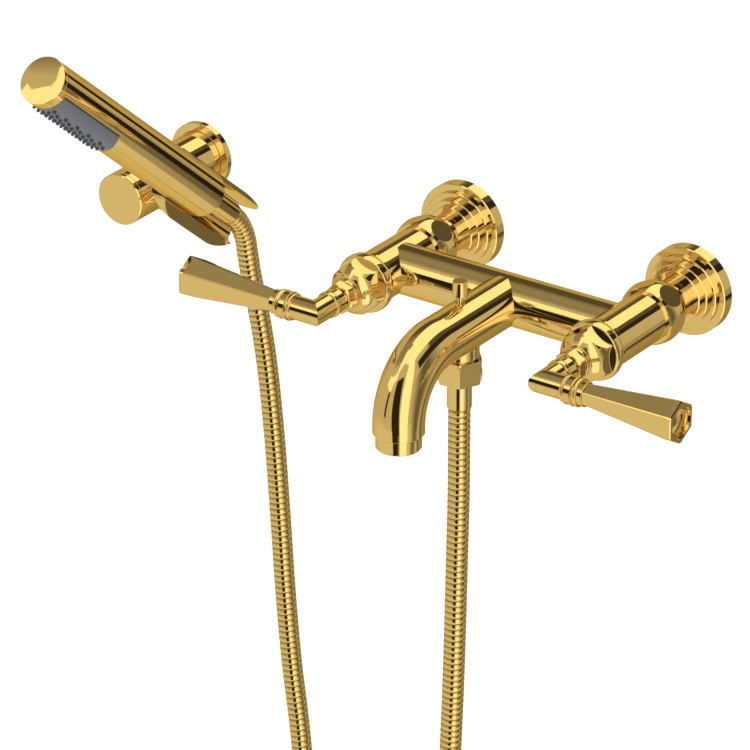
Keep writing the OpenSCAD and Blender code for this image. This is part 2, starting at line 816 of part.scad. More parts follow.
module bracket_screws() {
  color(steel) at_bracket() for (y = [-1, 1]) translate([0, y * screw_pitch / 2, 0]) difference() {
    union() {
      bore(screw_d / 2, -screw_length, cut);
      bore(screw_neck_d / 2, 0, plate_t + cut);
      lathe([[0, plate_t], [screw_head_d / 2, plate_t], [screw_head_d / 2, plate_t + 1],
        [screw_head_d / 2 - 1.2, plate_t + screw_head_t], [0, plate_t + screw_head_t]]);
    }
    for (a = [0, 90]) rotate([0, 0, a]) translate([-2, -0.4, plate_t + 1.2]) cube([4, 0.8, 3]);
  }
}

module bracket_flange() {
  color(gold) at_bracket() difference() {
    chamfered_disc(flange_d / 2, 0, flange_t, 0.5);
    bore(arm_d / 2 + fit_gap, -cut, flange_t + cut);
  }
}

module bracket_arm() {
  color(gold) at_bracket() difference() {
    bore(arm_d / 2, 0, arm_end);
    bore(arm_d / 2 - plate_edge + fit_gap, -cut, plate_t + screw_head_t + 2);
    bore(plate_boss_d / 2 + fit_gap, plate_t, plate_boss_end + fit_gap);
    bore(stud_d / 2 + fit_gap, stud_back, arm_end + cut);
  }
}

module clamp_stud() {
  color(steel) at_bracket() chamfered_disc(stud_d / 2, stud_back, stud_front, 0.6);
}

module swivel_washer() {
  color(black) at_bracket() difference() {
    bore(arm_d / 2 - 1, arm_end, hub_start - face_gap / 2);
    bore(stud_d / 2 + fit_gap, arm_end - cut, hub_start);
  }
}

module clamp_knob() {
  front = clamp_start + clamp_length;
  color(gold) at_bracket() difference() {
    union() {
      bore(arm_d / 2, clamp_start, front - clamp_groove);
      bore(arm_d / 2 - 0.6, front - clamp_groove - cut, front - clamp_groove + 0.8);
      chamfered_disc(arm_d / 2, front - clamp_groove + 0.8, front, 0.5);
    }
    bore(stud_d / 2 + run_gap, clamp_start - cut, stud_front + face_gap);
  }
}

// ---- Cradle

module in_handset_frame() {
  translate([handset_x, -tail_reach, tail_z]) rotate([90 - handset_tilt, 0, 0]) children();
}

// Side view of the trough, x along the barrel toward its head and y across it
trough_low = trough_centre_y - 23;
trough_high = 19.6;
trough_head = 36;
trough_tail = -86;
trough_depth = 40;
trough_over = 10;
trough_head_r = 20;
lobe_x = -30;
lobe_r = 60;
tab_x = -55;
tab_r = 20;
notch_y = 12.4;
leaf_x = -55;
leaf_r = 92;
leaf_notch_x = -68;
leaf_notch_r = 38;

// The lower lobe and the rounded tab behind the hose
module trough_lobe() {
  intersection() {
    translate([trough_tail, trough_low]) square([trough_head - trough_tail, notch_y - trough_low]);
    union() {
      translate([lobe_x, trough_low + lobe_r]) circle(lobe_r);
      translate([lobe_x, trough_low]) square(big);
    }
    union() {
      translate([tab_x, notch_y - tab_r]) circle(tab_r);
      translate([tab_x, trough_low]) square(big);
    }
    union() {
      translate([trough_head - trough_head_r, trough_low + trough_head_r]) circle(trough_head_r);
      translate([trough_tail, trough_low]) square([trough_head - trough_head_r - trough_tail, big]);
      translate([trough_tail, trough_low + trough_head_r]) square([trough_head - trough_tail, big]);
    }
  }
}

// The pointed leaf above the notch
module trough_leaf() {
  intersection() {
    union() {
      polygon([[tab_x, notch_y], [leaf_notch_x, notch_y], [leaf_notch_x, trough_high], [trough_head, trough_high],
        [trough_head, 0], [tab_x + 5, 0]]);
      translate([leaf_notch_x, notch_y + leaf_notch_r]) circle(leaf_notch_r);
    }
    translate([trough_tail, 0]) square([trough_head - trough_tail, trough_high]);
    union() {
      translate([leaf_x, trough_high - leaf_r]) circle(leaf_r);
      translate([leaf_x, -big / 2]) square(big);
    }
  }
}

module cradle() {
  hub_mid = (hub_start + hub_end) / 2;
  color(gold) difference() {
    union() {
      at_bracket() chamfered_disc(arm_d / 2, hub_start, hub_end, 0.4);
      translate([-bracket_offset, -hub_mid, bracket_z]) rotate([90, 0, 90]) linear_extrude(cradle_offset - neck_end)
        square_round([neck_w, neck_h], neck_round);
      in_handset_frame() intersection() {
        rotate([0, -90, 0]) translate([0, 0, -trough_face_x]) linear_extrude(trough_depth) union() {
          trough_lobe();
          trough_leaf();
        }
        translate([trough_centre_x, trough_centre_y]) bore(trough_outer_r, trough_tail - trough_over, trough_head + trough_over);
      }
    }
    in_handset_frame() bore(trough_r, -face_gap / 2, big / 2);
    in_handset_frame() bore(ledge_r, trough_tail - trough_over, 0);
    in_handset_frame() bore(trough_r, trough_tail - trough_over, -ledge_t);
    at_bracket() bore(stud_d / 2 + run_gap, hub_start - cut, hub_end + cut);
  }
}

// A rectangle with rounded corners, centred
module square_round(size, r) {
  union() {
    square([size[0] - 2 * r, size[1]], center = true);
    square([size[0], size[1] - 2 * r], center = true);
    for (x = [-1, 1], y = [-1, 1]) translate([x * (size[0] / 2 - r), y * (size[1] / 2 - r)]) circle(r);
  }
}

// ---- Handset

// The window for the spray face, as seen from below
module spray_window(grow) {
  rotate([90, 0, 0]) translate([0, 0, -spray_cut_y - grow]) linear_extrude(handset_d) intersection() {
    translate([-handset_d / 2, spray_start - grow]) square([handset_d, spray_end - spray_start + 2 * grow]);
    union() {
      translate([0, spray_start + spray_round - grow]) circle(spray_round);
      translate([-handset_d / 2, spray_start + spray_round - grow]) square([handset_d, spray_end - spray_start]);
    }
  }
}

module handset_barrel() {
  color(gold) in_handset_frame() difference() {
    chamfered_disc(handset_r, 0, handset_length - cap_t, 0.5);
    bore(handset_bore_r, -cut, handset_length);
    spray_window(fit_gap);
  }
}

module handset_cap() {
  dome_r = (handset_r * handset_r + cap_crown * cap_crown) / 2 / cap_crown;
  base = handset_length - cap_t;
  color(gold) in_handset_frame() union() {
    intersection() {
      chamfered_disc(handset_r, base, handset_length + cap_crown, 0.3);
      translate([0, 0, handset_length + cap_crown - dome_r]) sphere(r = dome_r);
    }
    bore(handset_bore_r - fit_gap, base - 2.6, base + cut);
  }
}

// The silicone face with its nozzles, staggered row by row
module spray_face() {
  color(grey) in_handset_frame() union() {
    difference() {
      intersection() {
        bore(handset_r, spray_start, spray_end);
        spray_window(-fit_gap);
      }
      bore(handset_r - handset_wall - spray_t, spray_start - cut, spray_end + cut);
    }
    for (row = [0:nozzle_rows - 1], k = [-2:2])
      let (angle = 20 * k + (row % 2 == 0 ? 0 : 10))
        if (abs(angle) < 45) translate([0, 0, spray_end - 6 - row * nozzle_pitch]) rotate([90, 0, angle])
          bore(nozzle_d / 2, handset_r - 1, handset_r + nozzle_h);
  }
}

module handset_inlet() {
  color(steel) in_handset_frame() difference() {
    union() {
      bore(handset_bore_r - fit_gap, inlet_z, inlet_z + inlet_t);
      bore(thread_d / 2, cone_thread_z, inlet_z + cut);
    }
    bore(hose_way_d / 2, 0, inlet_z + inlet_t + cut);
  }
}

module handset_cone() {
  color(gold) in_handset_frame() difference() {
    union() {
      bore(cone_thread_d / 2, cone_seat_z, inlet_z - face_gap);
      lathe([[0, cone_seat_z + cut], [cone_root_d / 2, cone_seat_z + cut], [cone_root_d / 2, cone_root_z],
        [cone_end_d / 2, 1 - cone_length], [cone_end_d / 2 - 1, -cone_length], [0, -cone_length]]);
    }
    bore(thread_d / 2 + fit_gap, cone_thread_z - fit_gap, inlet_z);
    bore(hose_way_d / 2, -cone_length - cut, cone_thread_z + cut);
  }
}

cross_bar();
spout();
valve_body(-1);  // hot_valve_body
valve_body(1);  // cold_valve_body
escutcheon(-1);  // hot_escutcheon
escutcheon(1);  // cold_escutcheon
union_tail(-1);  // hot_union_tail
union_tail(1);  // cold_union_tail
union_nut(-1);  // hot_union_nut
union_nut(1);  // cold_union_nut
union_washers();
bonnet(-1);  // hot_bonnet
bonnet(1);  // cold_bonnet
cartridge(-1);  // hot_cartridge
cartridge(1);  // cold_cartridge
fixed_discs();
moving_disc(-1);  // hot_moving_disc
moving_disc(1);  // cold_moving_disc
spindle(-1);  // hot_spindle
spindle(1);  // cold_spindle
gland_nut(-1);  // hot_gland_nut
gland_nut(1);  // cold_gland_nut
elbow(-1);  // hot_elbow
elbow(1);  // cold_elbow
collar(-1);  // hot_collar
collar(1);  // cold_collar
lever(-1);  // hot_lever
lever(1);  // cold_lever
end_button(-1);  // hot_end_button
end_button(1);  // cold_end_button
set_screw(-1);  // hot_set_screw
set_screw(1);  // cold_set_screw
aerator_housing();
aerator_insert();
aerator_seal();
diverter_sleeve();
diverter_spool();
diverter_bush();
diverter_knob();
outlet_nipple();
check_valve();
hose_nut();
hose_washer();
hose_sleeve();
hose();
bracket_plate();
bracket_screws();
bracket_flange();
bracket_arm();
clamp_stud();
clamp_knob();
swivel_washer();
cradle();
handset_barrel();
handset_cap();
spray_face();
handset_inlet();
handset_cone();
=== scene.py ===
import json
import math
import bmesh
import bpy
import numpy as np
from mathutils import Matrix


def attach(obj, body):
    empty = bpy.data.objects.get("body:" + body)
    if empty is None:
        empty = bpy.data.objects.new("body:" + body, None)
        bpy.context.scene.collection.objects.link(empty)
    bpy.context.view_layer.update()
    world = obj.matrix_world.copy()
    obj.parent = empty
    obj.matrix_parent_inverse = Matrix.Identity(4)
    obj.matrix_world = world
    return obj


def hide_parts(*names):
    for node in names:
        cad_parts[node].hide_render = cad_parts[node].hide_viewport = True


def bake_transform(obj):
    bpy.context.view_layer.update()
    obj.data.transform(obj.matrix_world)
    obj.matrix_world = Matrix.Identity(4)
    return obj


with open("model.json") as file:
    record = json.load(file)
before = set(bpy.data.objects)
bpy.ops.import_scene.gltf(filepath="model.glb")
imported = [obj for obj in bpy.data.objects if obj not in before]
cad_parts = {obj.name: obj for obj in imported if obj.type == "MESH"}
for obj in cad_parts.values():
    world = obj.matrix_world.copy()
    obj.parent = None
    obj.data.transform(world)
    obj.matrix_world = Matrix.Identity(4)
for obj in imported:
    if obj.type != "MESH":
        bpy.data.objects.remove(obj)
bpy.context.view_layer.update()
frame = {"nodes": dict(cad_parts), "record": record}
print("bath filler: packed model loaded,", len(frame["nodes"]), "solids")

viewpoint = {
    "place": (1.75187, -2.74110, 1.48232),
    "right": (0.8194, 0.5731, 0.0),
    "up": (-0.2496, 0.3568, 0.9003),
    "back": (0.51591, -0.73772, 0.43545),
    "lens": 256.4,
}


# the camera looks against its back vector; the three vectors are the columns of its matrix
def setCamera(v):
    data = bpy.data.cameras.new("filler_camera")
    data.lens = v["lens"]
    data.sensor_width = 36.0
    data.clip_end = 60.0
    camera = bpy.data.objects.new("filler_camera", data)
    bpy.context.scene.collection.objects.link(camera)
    turn = np.eye(4)
    turn[:3, 0], turn[:3, 1], turn[:3, 2], turn[:3, 3] = v["right"], v["up"], v["back"], v["place"]
    camera.matrix_world = Matrix(turn.tolist())
    bpy.context.scene.camera = camera


setCamera(viewpoint)
bpy.context.scene.view_settings.view_transform = "Standard"


# one shader value; an expression on values adds its Math nodes
class Value:
    def __init__(self, maker, socket):
        self.maker, self.socket = maker, socket

    def math(self, operation, *others):
        return self.maker.node("ShaderNodeMath", {"operation": operation}, dict(enumerate((self,) + others)))

    def __add__(self, other): return self.math("ADD", other)
    def __radd__(self, other): return self.math("ADD", other)
    def __sub__(self, other): return self.math("SUBTRACT", other)
    def __rsub__(self, other): return (self * -1.0).math("ADD", other)
    def __mul__(self, other): return self.math("MULTIPLY", other)
    def __rmul__(self, other): return self.math("MULTIPLY", other)
    def __truediv__(self, other): return self.math("DIVIDE", other)
    def clamp(self): return self.math("MAXIMUM", 0.0).math("MINIMUM", 1.0)
    def over(self, low, high): return ((self - low) / (high - low)).clamp()


# adds nodes to one tree; settings are set before the sockets are filled
class Maker:
    def __init__(self, tree):
        self.tree = tree
        tree.nodes.clear()

    def node(self, kind, settings={}, inputs={}, out=0):
        n = self.tree.nodes.new(kind)
        for key, value in settings.items():
            if key == "stops":
                ramp = n.color_ramp
                while len(ramp.elements) < len(value):
                    ramp.elements.new(0.5)
                for element, (place, colour) in zip(ramp.elements, value):
                    element.position, element.color = place, colour
            else:
                setattr(n, key, value)
        for key, value in inputs.items():
            if isinstance(value, Value):
                self.tree.links.new(value.socket, n.inputs[key])
            else:
                n.inputs[key].default_value = value
        return Value(self, n.outputs[out]) if len(n.outputs) else None

    def place(self):
        return self.node("ShaderNodeTexCoord", out=3)

    def along(self, a, b):
        return self.node("ShaderNodeVectorMath", {"operation": "DOT_PRODUCT"}, {0: a, 1: b}, out=1)

    def noise(self, scale, detail=3.0, roughness=0.55, at=None):
        return self.node("ShaderNodeTexNoise", inputs={"Vector": at or self.place(), "Scale": scale,
                         "Detail": detail, "Roughness": roughness})

    def mix(self, factor, a, b):
        return self.node("ShaderNodeMix", {"data_type": "RGBA"}, {0: factor, 6: a, 7: b}, out=2)

    def bump(self, height, strength, distance):
        return self.node("ShaderNodeBump", inputs={"Height": height, "Strength": strength, "Distance": distance})

    def finish(self, fixed, driven):
        shader = self.node("ShaderNodeBsdfPrincipled", inputs={**fixed, **driven})
        self.node("ShaderNodeOutputMaterial", inputs={"Surface": shader})


def newMaterial(name):
    material = bpy.data.materials.new(name)
    material.use_nodes = True
    return material, Maker(material.node_tree)


goldFinish = {
    "colour": (0.90, 0.63, 0.20, 1.0),
    "deep": (0.88, 0.60, 0.18, 1.0),
    "edge": (0.85, 0.62, 0.30, 1.0),       # tint at a grazing angle
    "mirrored": (0.86, 0.81, 0.72, 1.0),   # what gold turns towards where other gold mirrors it
    "pale": 0.7,                           # how far it turns
    # painted shade: the dark colour mixed into the hose's grooves
    "groove": (0.10, 0.055, 0.012, 1.0),
    "grooveRough": 0.25,
    "roughness": 0.025,
    "smears": 0.03,
    "lines": 0.015,
}


# polished gold plate: hand smears and fine lines change the roughness, the plate's tone drifts a little, and the
# hose's grooves are dull and painted dark, as painted shade; gold seen in gold is mixed paler, so repeated mirroring
# doesn't turn it orange
def polishedGold(name, f, shadedGrooves=False):
    material, m = newMaterial(name)
    drift = m.noise(9.0)
    smears = m.noise(46.0, 4.0, 0.6).over(0.45, 0.75)
    fine = m.noise(900.0, 2.0)
    colour = m.mix(drift, f["colour"], f["deep"])
    colour = m.mix(m.node("ShaderNodeLightPath", out=3) * f["pale"], colour, f["mirrored"])
    rough = smears * f["smears"] + fine * f["lines"] + f["roughness"]
    if shadedGrooves:
        # painted shade: in the hose's grooves the colour is mixed towards the dark groove colour, and the roughness
        # rises
        depth = m.node("ShaderNodeAttribute", {"attribute_name": "groove"}, out=2)
        colour = m.mix(depth, colour, f["groove"])
        rough = rough + depth * f["grooveRough"]
    m.finish({"Metallic": 1.0, "Specular Tint": f["edge"]},
             {"Base Color": colour, "Roughness": rough, "Normal": m.bump(fine, 0.02, 0.0002)})
    return material


# machined steel: turned lines as a fine noise, a little darker in patches
def machinedSteel(name):
    material, m = newMaterial(name)
    patches = m.noise(60.0)
    lines = m.noise(1400.0, 2.0)
    m.finish({"Metallic": 1.0}, {"Base Color": m.mix(patches, (0.55, 0.56, 0.58, 1), (0.42, 0.43, 0.45, 1)),
                                 "Roughness": patches * 0.12 + 0.22, "Normal": m.bump(lines, 0.08, 0.0002)})
    return material


# moulded stuff of one colour: speckle in the colour, grain in the roughness and the bump
def moulded(name, light, dark, rough, grain, coat=0.0):
    material, m = newMaterial(name)
    speckle = m.noise(grain, 4.0)
    broad = m.noise(30.0)
    m.finish({"Coat Weight": coat}, {"Base Color": m.mix(speckle * 0.6 + broad * 0.4, light, dark),
                                     "Roughness": broad * 0.12 + rough, "Normal": m.bump(speckle, 0.12, 0.0003)})
    return material


gold = polishedGold("polished_gold", goldFinish)
hoseGold = polishedGold("spiral_gold_shaded_grooves", goldFinish, shadedGrooves=True)
steel = machinedSteel("machined_steel")
rubber = moulded("black_rubber", (0.02, 0.02, 0.021, 1), (0.035, 0.035, 0.036, 1), 0.55, 700.0)
ceramic = moulded("white_ceramic", (0.80, 0.79, 0.76, 1), (0.72, 0.71, 0.68, 1), 0.10, 200.0, 0.4)
plastic = moulded("white_plastic", (0.78, 0.78, 0.76, 1), (0.66, 0.66, 0.64, 1), 0.35, 400.0)
silicone = moulded("grey_silicone", (0.15, 0.155, 0.165, 1), (0.105, 0.11, 0.12, 1), 0.34, 900.0, 0.15)
nubSilicone = moulded("dark_silicone", (0.055, 0.06, 0.066, 1), (0.03, 0.032, 0.036, 1), 0.30, 900.0, 0.2)
slotMaterials = {"polished_gold": gold, "spiral_hose": hoseGold, "plain_steel": steel, "black_rubber": rubber,
                 "white_ceramic": ceramic, "white_plastic": plastic, "grey_silicone": silicone}
print("finishes made:", len(bpy.data.materials))

mm = 0.001
halfPitch = 90.0
leverReach = 176.0


# a place is an origin and three axes; a local point is origin + x*axisX + y*axisY + z*axisZ
class Place:
    def __init__(self, origin, axisX, axisY, axisZ):
        self.origin, self.axes = np.array(origin, float), np.array([axisX, axisY, axisZ], float)

    def points(self, p):
        return p @ self.axes + self.origin

    def turnsOver(self):
        return np.linalg.det(self.axes) < 0


def atValve(side):
    return Place((side * halfPitch, 0, 0), (side, 0, 0), (0, 0, 1), (0, -1, 0))


def alongLever(side):
    return Place((side * halfPitch, -leverReach, 0), (0, 1, 0), (0, 0, 1), (side, 0, 0))


def upright(x, y, z=0.0):
    return Place((x, y, z), (1, 0, 0), (0, 1, 0), (0, 0, 1))


bracketPlace = Place((-311.5, 0, -4.4), (1, 0, 0), (0, 0, 1), (0, -1, 0))
handsetTilt = math.radians(39.7)
handsetPlace = Place((-257.0, -73.5, 5.9), (1, 0, 0), (0, math.sin(handsetTilt), math.cos(handsetTilt)),
                     (0, -math.cos(handsetTilt), math.sin(handsetTilt)))


# a mesh from points, faces of three or four corners, and one exact normal for each corner
def putMesh(name, points, faces, cornerNormals, place, material, body, replaced=(), slot="polished_gold"):
    if place.turnsOver():
        faces = [f[::-1] for f in faces]
        cornerNormals = [n[::-1] for n in cornerNormals]
    mesh = bpy.data.meshes.new(name)
    mesh.from_pydata((place.points(points) * mm).tolist(), [], [list(map(int, f)) for f in faces])
    mesh.shade_smooth()
    mesh.normals_split_custom_set((np.concatenate(cornerNormals) @ place.axes).tolist())
    mesh.materials.append(material)
    piece = bpy.data.objects.new(name, mesh)
    bpy.context.scene.collection.objects.link(piece)
    if body:
        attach(piece, body)
    if replaced:
        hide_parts(*replaced)
    return piece


# a grid of points (rows, columns) as faces; columns may wrap, and a row that is one point closes as triangles
def gridFaces(points, quadNormals, wrapColumns=True, wrapRows=False):
    rows, columns = points.shape[:2]
    index = np.arange(rows * columns).reshape(rows, columns)
    pole = np.ptp(points.reshape(rows, columns, 3), axis=1).max(axis=1) < 1e-7
    index[pole] = index[pole][:, :1]
    if wrapColumns:
        index = np.concatenate([index, index[:, :1]], axis=1)
    if wrapRows:
        index = np.concatenate([index, index[:1]], axis=0)
    quads = np.stack([index[:-1, :-1], index[:-1, 1:], index[1:, 1:], index[1:, :-1]], axis=2).reshape(-1, 4)
    normals = quadNormals.reshape(-1, 4, 3)
    startPole, endPole = quads[:, 0] == quads[:, 1], quads[:, 2] == quads[:, 3]
    plain = ~startPole & ~endPole
    sets = [(plain, [0, 1, 2, 3]), (startPole & ~endPole, [0, 2, 3]), (endPole & ~startPole, [0, 1, 2])]
    used = np.unique(quads[~(startPole & endPole)])
    lookup = np.full(rows * columns, -1)
    lookup[used] = np.arange(len(used))
    faces, corners = [], []
    for chosen, keep in sets:
        faces += lookup[quads[chosen][:, keep]].tolist()
        corners += list(normals[chosen][:, keep])
    return points.reshape(-1, 3)[used], faces, corners


# rounds a profile's corners with short arcs of the given radius; [r, h] points, r = 0 stays on the axis
def eased(profile, radius=0.35, steps=3, closed=False):
    p = np.array(profile, float)
    out = []
    for i, here in enumerate(p):
        if not closed and i in (0, len(p) - 1) or here[0] < 1e-6:
            out.append(here)
            continue
        before, after = p[i - 1] - here, p[(i + 1) % len(p)] - here
        la, lb = np.linalg.norm(before), np.linalg.norm(after)
        if la < 1e-6 or lb < 1e-6:
            continue
        bend = math.acos(max(-1.0, min(1.0, float(before @ after) / la / lb)))
        if bend > math.radians(150) or radius == 0:
            out.append(here)
            continue
        cut = min(radius / math.tan(bend / 2), 0.42 * la, 0.42 * lb)
        a, b = here + before / la * cut, here + after / lb * cut
        t = np.linspace(0, 1, steps + 1)[:, None]
        out += list((1 - t) ** 2 * a + 2 * t * (1 - t) * here + t ** 2 * b)
    return np.array(out)


# each segment's normals at its two ends: a shared end bends smoothly under 40 degrees, led by the longer side
def profileNormals(p, closed=False):
    d = np.roll(p, -1, axis=0) - p if closed else p[1:] - p[:-1]
    length = np.maximum(np.linalg.norm(d, axis=1), 1e-9)
    n = np.stack([d[:, 1], -d[:, 0]], axis=1) / length[:, None]
    before, after = np.roll(n, 1, axis=0), np.roll(n, -1, axis=0)
    lb, la = np.roll(length, 1)[:, None], np.roll(length, -1)[:, None]
    smoothA = (before * n).sum(1) > math.cos(math.radians(40))
    smoothB = (after * n).sum(1) > math.cos(math.radians(40))
    if not closed:
        smoothA[0] = smoothB[-1] = False
    start = np.where(smoothA[:, None], n * length[:, None] ** 2 + before * lb ** 2, n)
    end = np.where(smoothB[:, None], n * length[:, None] ** 2 + after * la ** 2, n)
    unit = lambda v: v / np.linalg.norm(v, axis=1, keepdims=True)
    return unit(start), unit(end)


# a turned piece: point (r cos t, r sin t, h) for each profile point [r, h] and angle t
def turned(name, profile, place, body, replaced=(), material=gold, ease=0.35, closed=False, sides=112,
           slot="polished_gold"):
    p = eased(profile, ease, closed=closed)
    start, end = profileNormals(p, closed)
    angle = np.arange(sides) * 2 * math.pi / sides
    ring = np.stack([np.cos(angle), np.sin(angle)], axis=1)
    points = np.concatenate([p[:, None, :1] * ring[None], np.repeat(p[:, None, 1:], sides, axis=1)], axis=2)
    nextRing = np.roll(ring, -1, axis=0)
    spin = lambda n, r: np.concatenate([n[:, None, :1] * r[None], np.repeat(n[:, None, 1:], sides, axis=1)], axis=2)
    quadNormals = np.stack([spin(start, ring), spin(start, nextRing), spin(end, nextRing), spin(end, ring)], axis=2)
    return putMesh(name, *gridFaces(points, quadNormals, True, closed), place, material, body, replaced, slot)


# a turned piece with flats: each row is [h, round radius, flat's distance]; the flat runs to where it meets the round
def flatted(name, rows, place, body, replaced=(), turn=0.0, flats=6, material=gold, slot="polished_gold"):
    rows = np.array(rows, float)
    h, radius, apothem = rows.T
    half = math.pi / flats
    edge = np.arccos(np.clip(apothem / np.maximum(radius, 1e-6), -1, 1))
    edge = np.clip(np.where(radius <= apothem, 0, edge), half * 0.004, half * 0.996)
    inFlat = np.linspace(-1, 1, 9)
    onRound = np.linspace(0, 1, 7)[1:-1]
    local = np.concatenate([edge[:, None] * inFlat, edge[:, None] + (2 * half - 2 * edge[:, None]) * onRound], axis=1)
    flatColumn = np.concatenate([np.ones(8, bool), np.zeros(6, bool)])
    each = local.shape[1]
    angle = np.concatenate([local + 2 * half * k for k in range(flats)], axis=1) + math.radians(turn)
    centre = np.repeat(np.arange(flats) * 2 * half, each) + math.radians(turn)
    isFlat = np.tile(flatColumn, flats)
    onFlat = np.tile(np.concatenate([np.ones(9, bool), np.zeros(5, bool)]), flats)
    cutOff = onFlat[None] & (radius > apothem)[:, None]
    reach = np.where(cutOff, apothem[:, None] / np.cos(angle - centre), radius[:, None])
    reach = np.minimum(reach, radius[:, None])
    points = np.stack([reach * np.cos(angle), reach * np.sin(angle), np.repeat(h[:, None], angle.shape[1], 1)], axis=2)
    start, end = profileNormals(np.stack([radius, h], axis=1))
    cap = np.abs(start[:, 0]) < 0.35
    wrapped = np.concatenate([angle, angle[:, :1] + 2 * math.pi], axis=1)

    def roundNormal(n, a):
        return np.stack([n[:, :1] * np.cos(a), n[:, :1] * np.sin(a), np.repeat(n[:, 1:], a.shape[1], 1)], axis=2)

    corners = [roundNormal(start, wrapped[:-1, :-1]), roundNormal(start, wrapped[:-1, 1:]),
               roundNormal(end, wrapped[1:, 1:]), roundNormal(end, wrapped[1:, :-1])]
    rise = np.maximum(np.diff(h), 1e-6)
    tilt = -np.diff(apothem) / rise
    plane = np.stack([np.repeat(np.cos(centre)[None], len(tilt), 0), np.repeat(np.sin(centre)[None], len(tilt), 0),
                      np.repeat(tilt[:, None], len(centre), 1)], axis=2)
    plane /= np.linalg.norm(plane, axis=2, keepdims=True)
    useFlat = (isFlat[None] & ~cap[:, None])[..., None]
    quadNormals = np.stack([np.where(useFlat, plane, c) for c in corners], axis=2)
    return putMesh(name, *gridFaces(points, quadNormals), place, material, body, replaced, slot)


# heights for a ball: even steps, and close ones where the flats begin, at |h - centre| = sqrt(R^2 - a^2)
def ballRows(centre, radius, apothem, low, high, steps=26):
    h = list(np.linspace(low, high, steps))
    if radius > apothem:
        reach = math.sqrt(radius ** 2 - apothem ** 2)
        for side in (-1, 1):
            h += [centre + side * (reach - d) for d in (0.0, 0.02, 0.08, 0.2, 0.45, 0.8)]
    h = np.unique(np.round([x for x in h if low <= x <= high], 4))
    return [[x, math.sqrt(max(radius ** 2 - (x - centre) ** 2, 0.01)), apothem] for x in h]


# a convex rim of radius r between two heights, bulging by b
def rim(r, low, high, b, steps=10):
    t = np.linspace(0, math.pi, steps + 1)
    return [[r - b + b * math.sin(x), low + (high - low) * (1 - math.cos(x)) / 2] for x in t]


hoseShape = {
    "route": [
        [0, -140, -57.3], [0, -140, -80], [0, -140, -120], [-1, -140, -170], [-2, -140, -220], [-4, -139, -270],
        [-8, -137, -340], [-14, -133, -415], [-21, -128, -490], [-26, -125, -557], [-31, -122, -614], [-40, -117, -662],
        [-58, -107, -698], [-85, -92, -721], [-117, -74, -729], [-149, -56, -721], [-176, -41, -698], [-194, -30, -662],
        [-203, -24, -614], [-208, -21, -557], [-213, -18, -495], [-220, -16, -430], [-227, -16, -375],
        [-232, -16, -320], [-236, -16, -260], [-240, -16, -205], [-245, -16, -155], [-249, -17, -122],
        [-253, -19, -94], [-256, -21, -74],
        [-257, -22.9, -59], [-257, -26.3, -43.7], [-257, -33.6, -29.9], [-257, -44.22, -18.41]],
    "diameter": 14.9,
    "pitch": 4.4,
    "groove": 0.62,
    "valley": 0.2,                         # half the groove's width, as a share of a turn
    "crown": 0.22,
    "rowsPerTurn": 8,
    "sides": 24,
    "standing": 19,                        # the route's points where the hose's meshes meet: up to the first it
    "parting": 26,                         # stays with the wall, then it bends to the cradle, then to the handset
}


# the route as a curve: a cubic through each four neighbours, carried straight past both ends
def hoseLine(route, step=0.5):
    p = np.array(route, float)
    p = np.concatenate([[2 * p[0] - p[1]], p, [2 * p[-1] - p[-2]]])
    out, knots = [], []
    for a, b, c, d in zip(p[:-3], p[1:-2], p[2:-1], p[3:]):
        n = max(2, int(np.linalg.norm(c - b) / step))
        t = (np.arange(n) / n)[:, None]
        knots.append(sum(len(o) for o in out))
        square, cube = 2 * a - 5 * b + 4 * c - d, 3 * b - a - 3 * c + d
        out.append(0.5 * (2 * b + (c - a) * t + square * t ** 2 + cube * t ** 3))
    line = np.concatenate(out + [p[-2:-1]])
    return line, knots


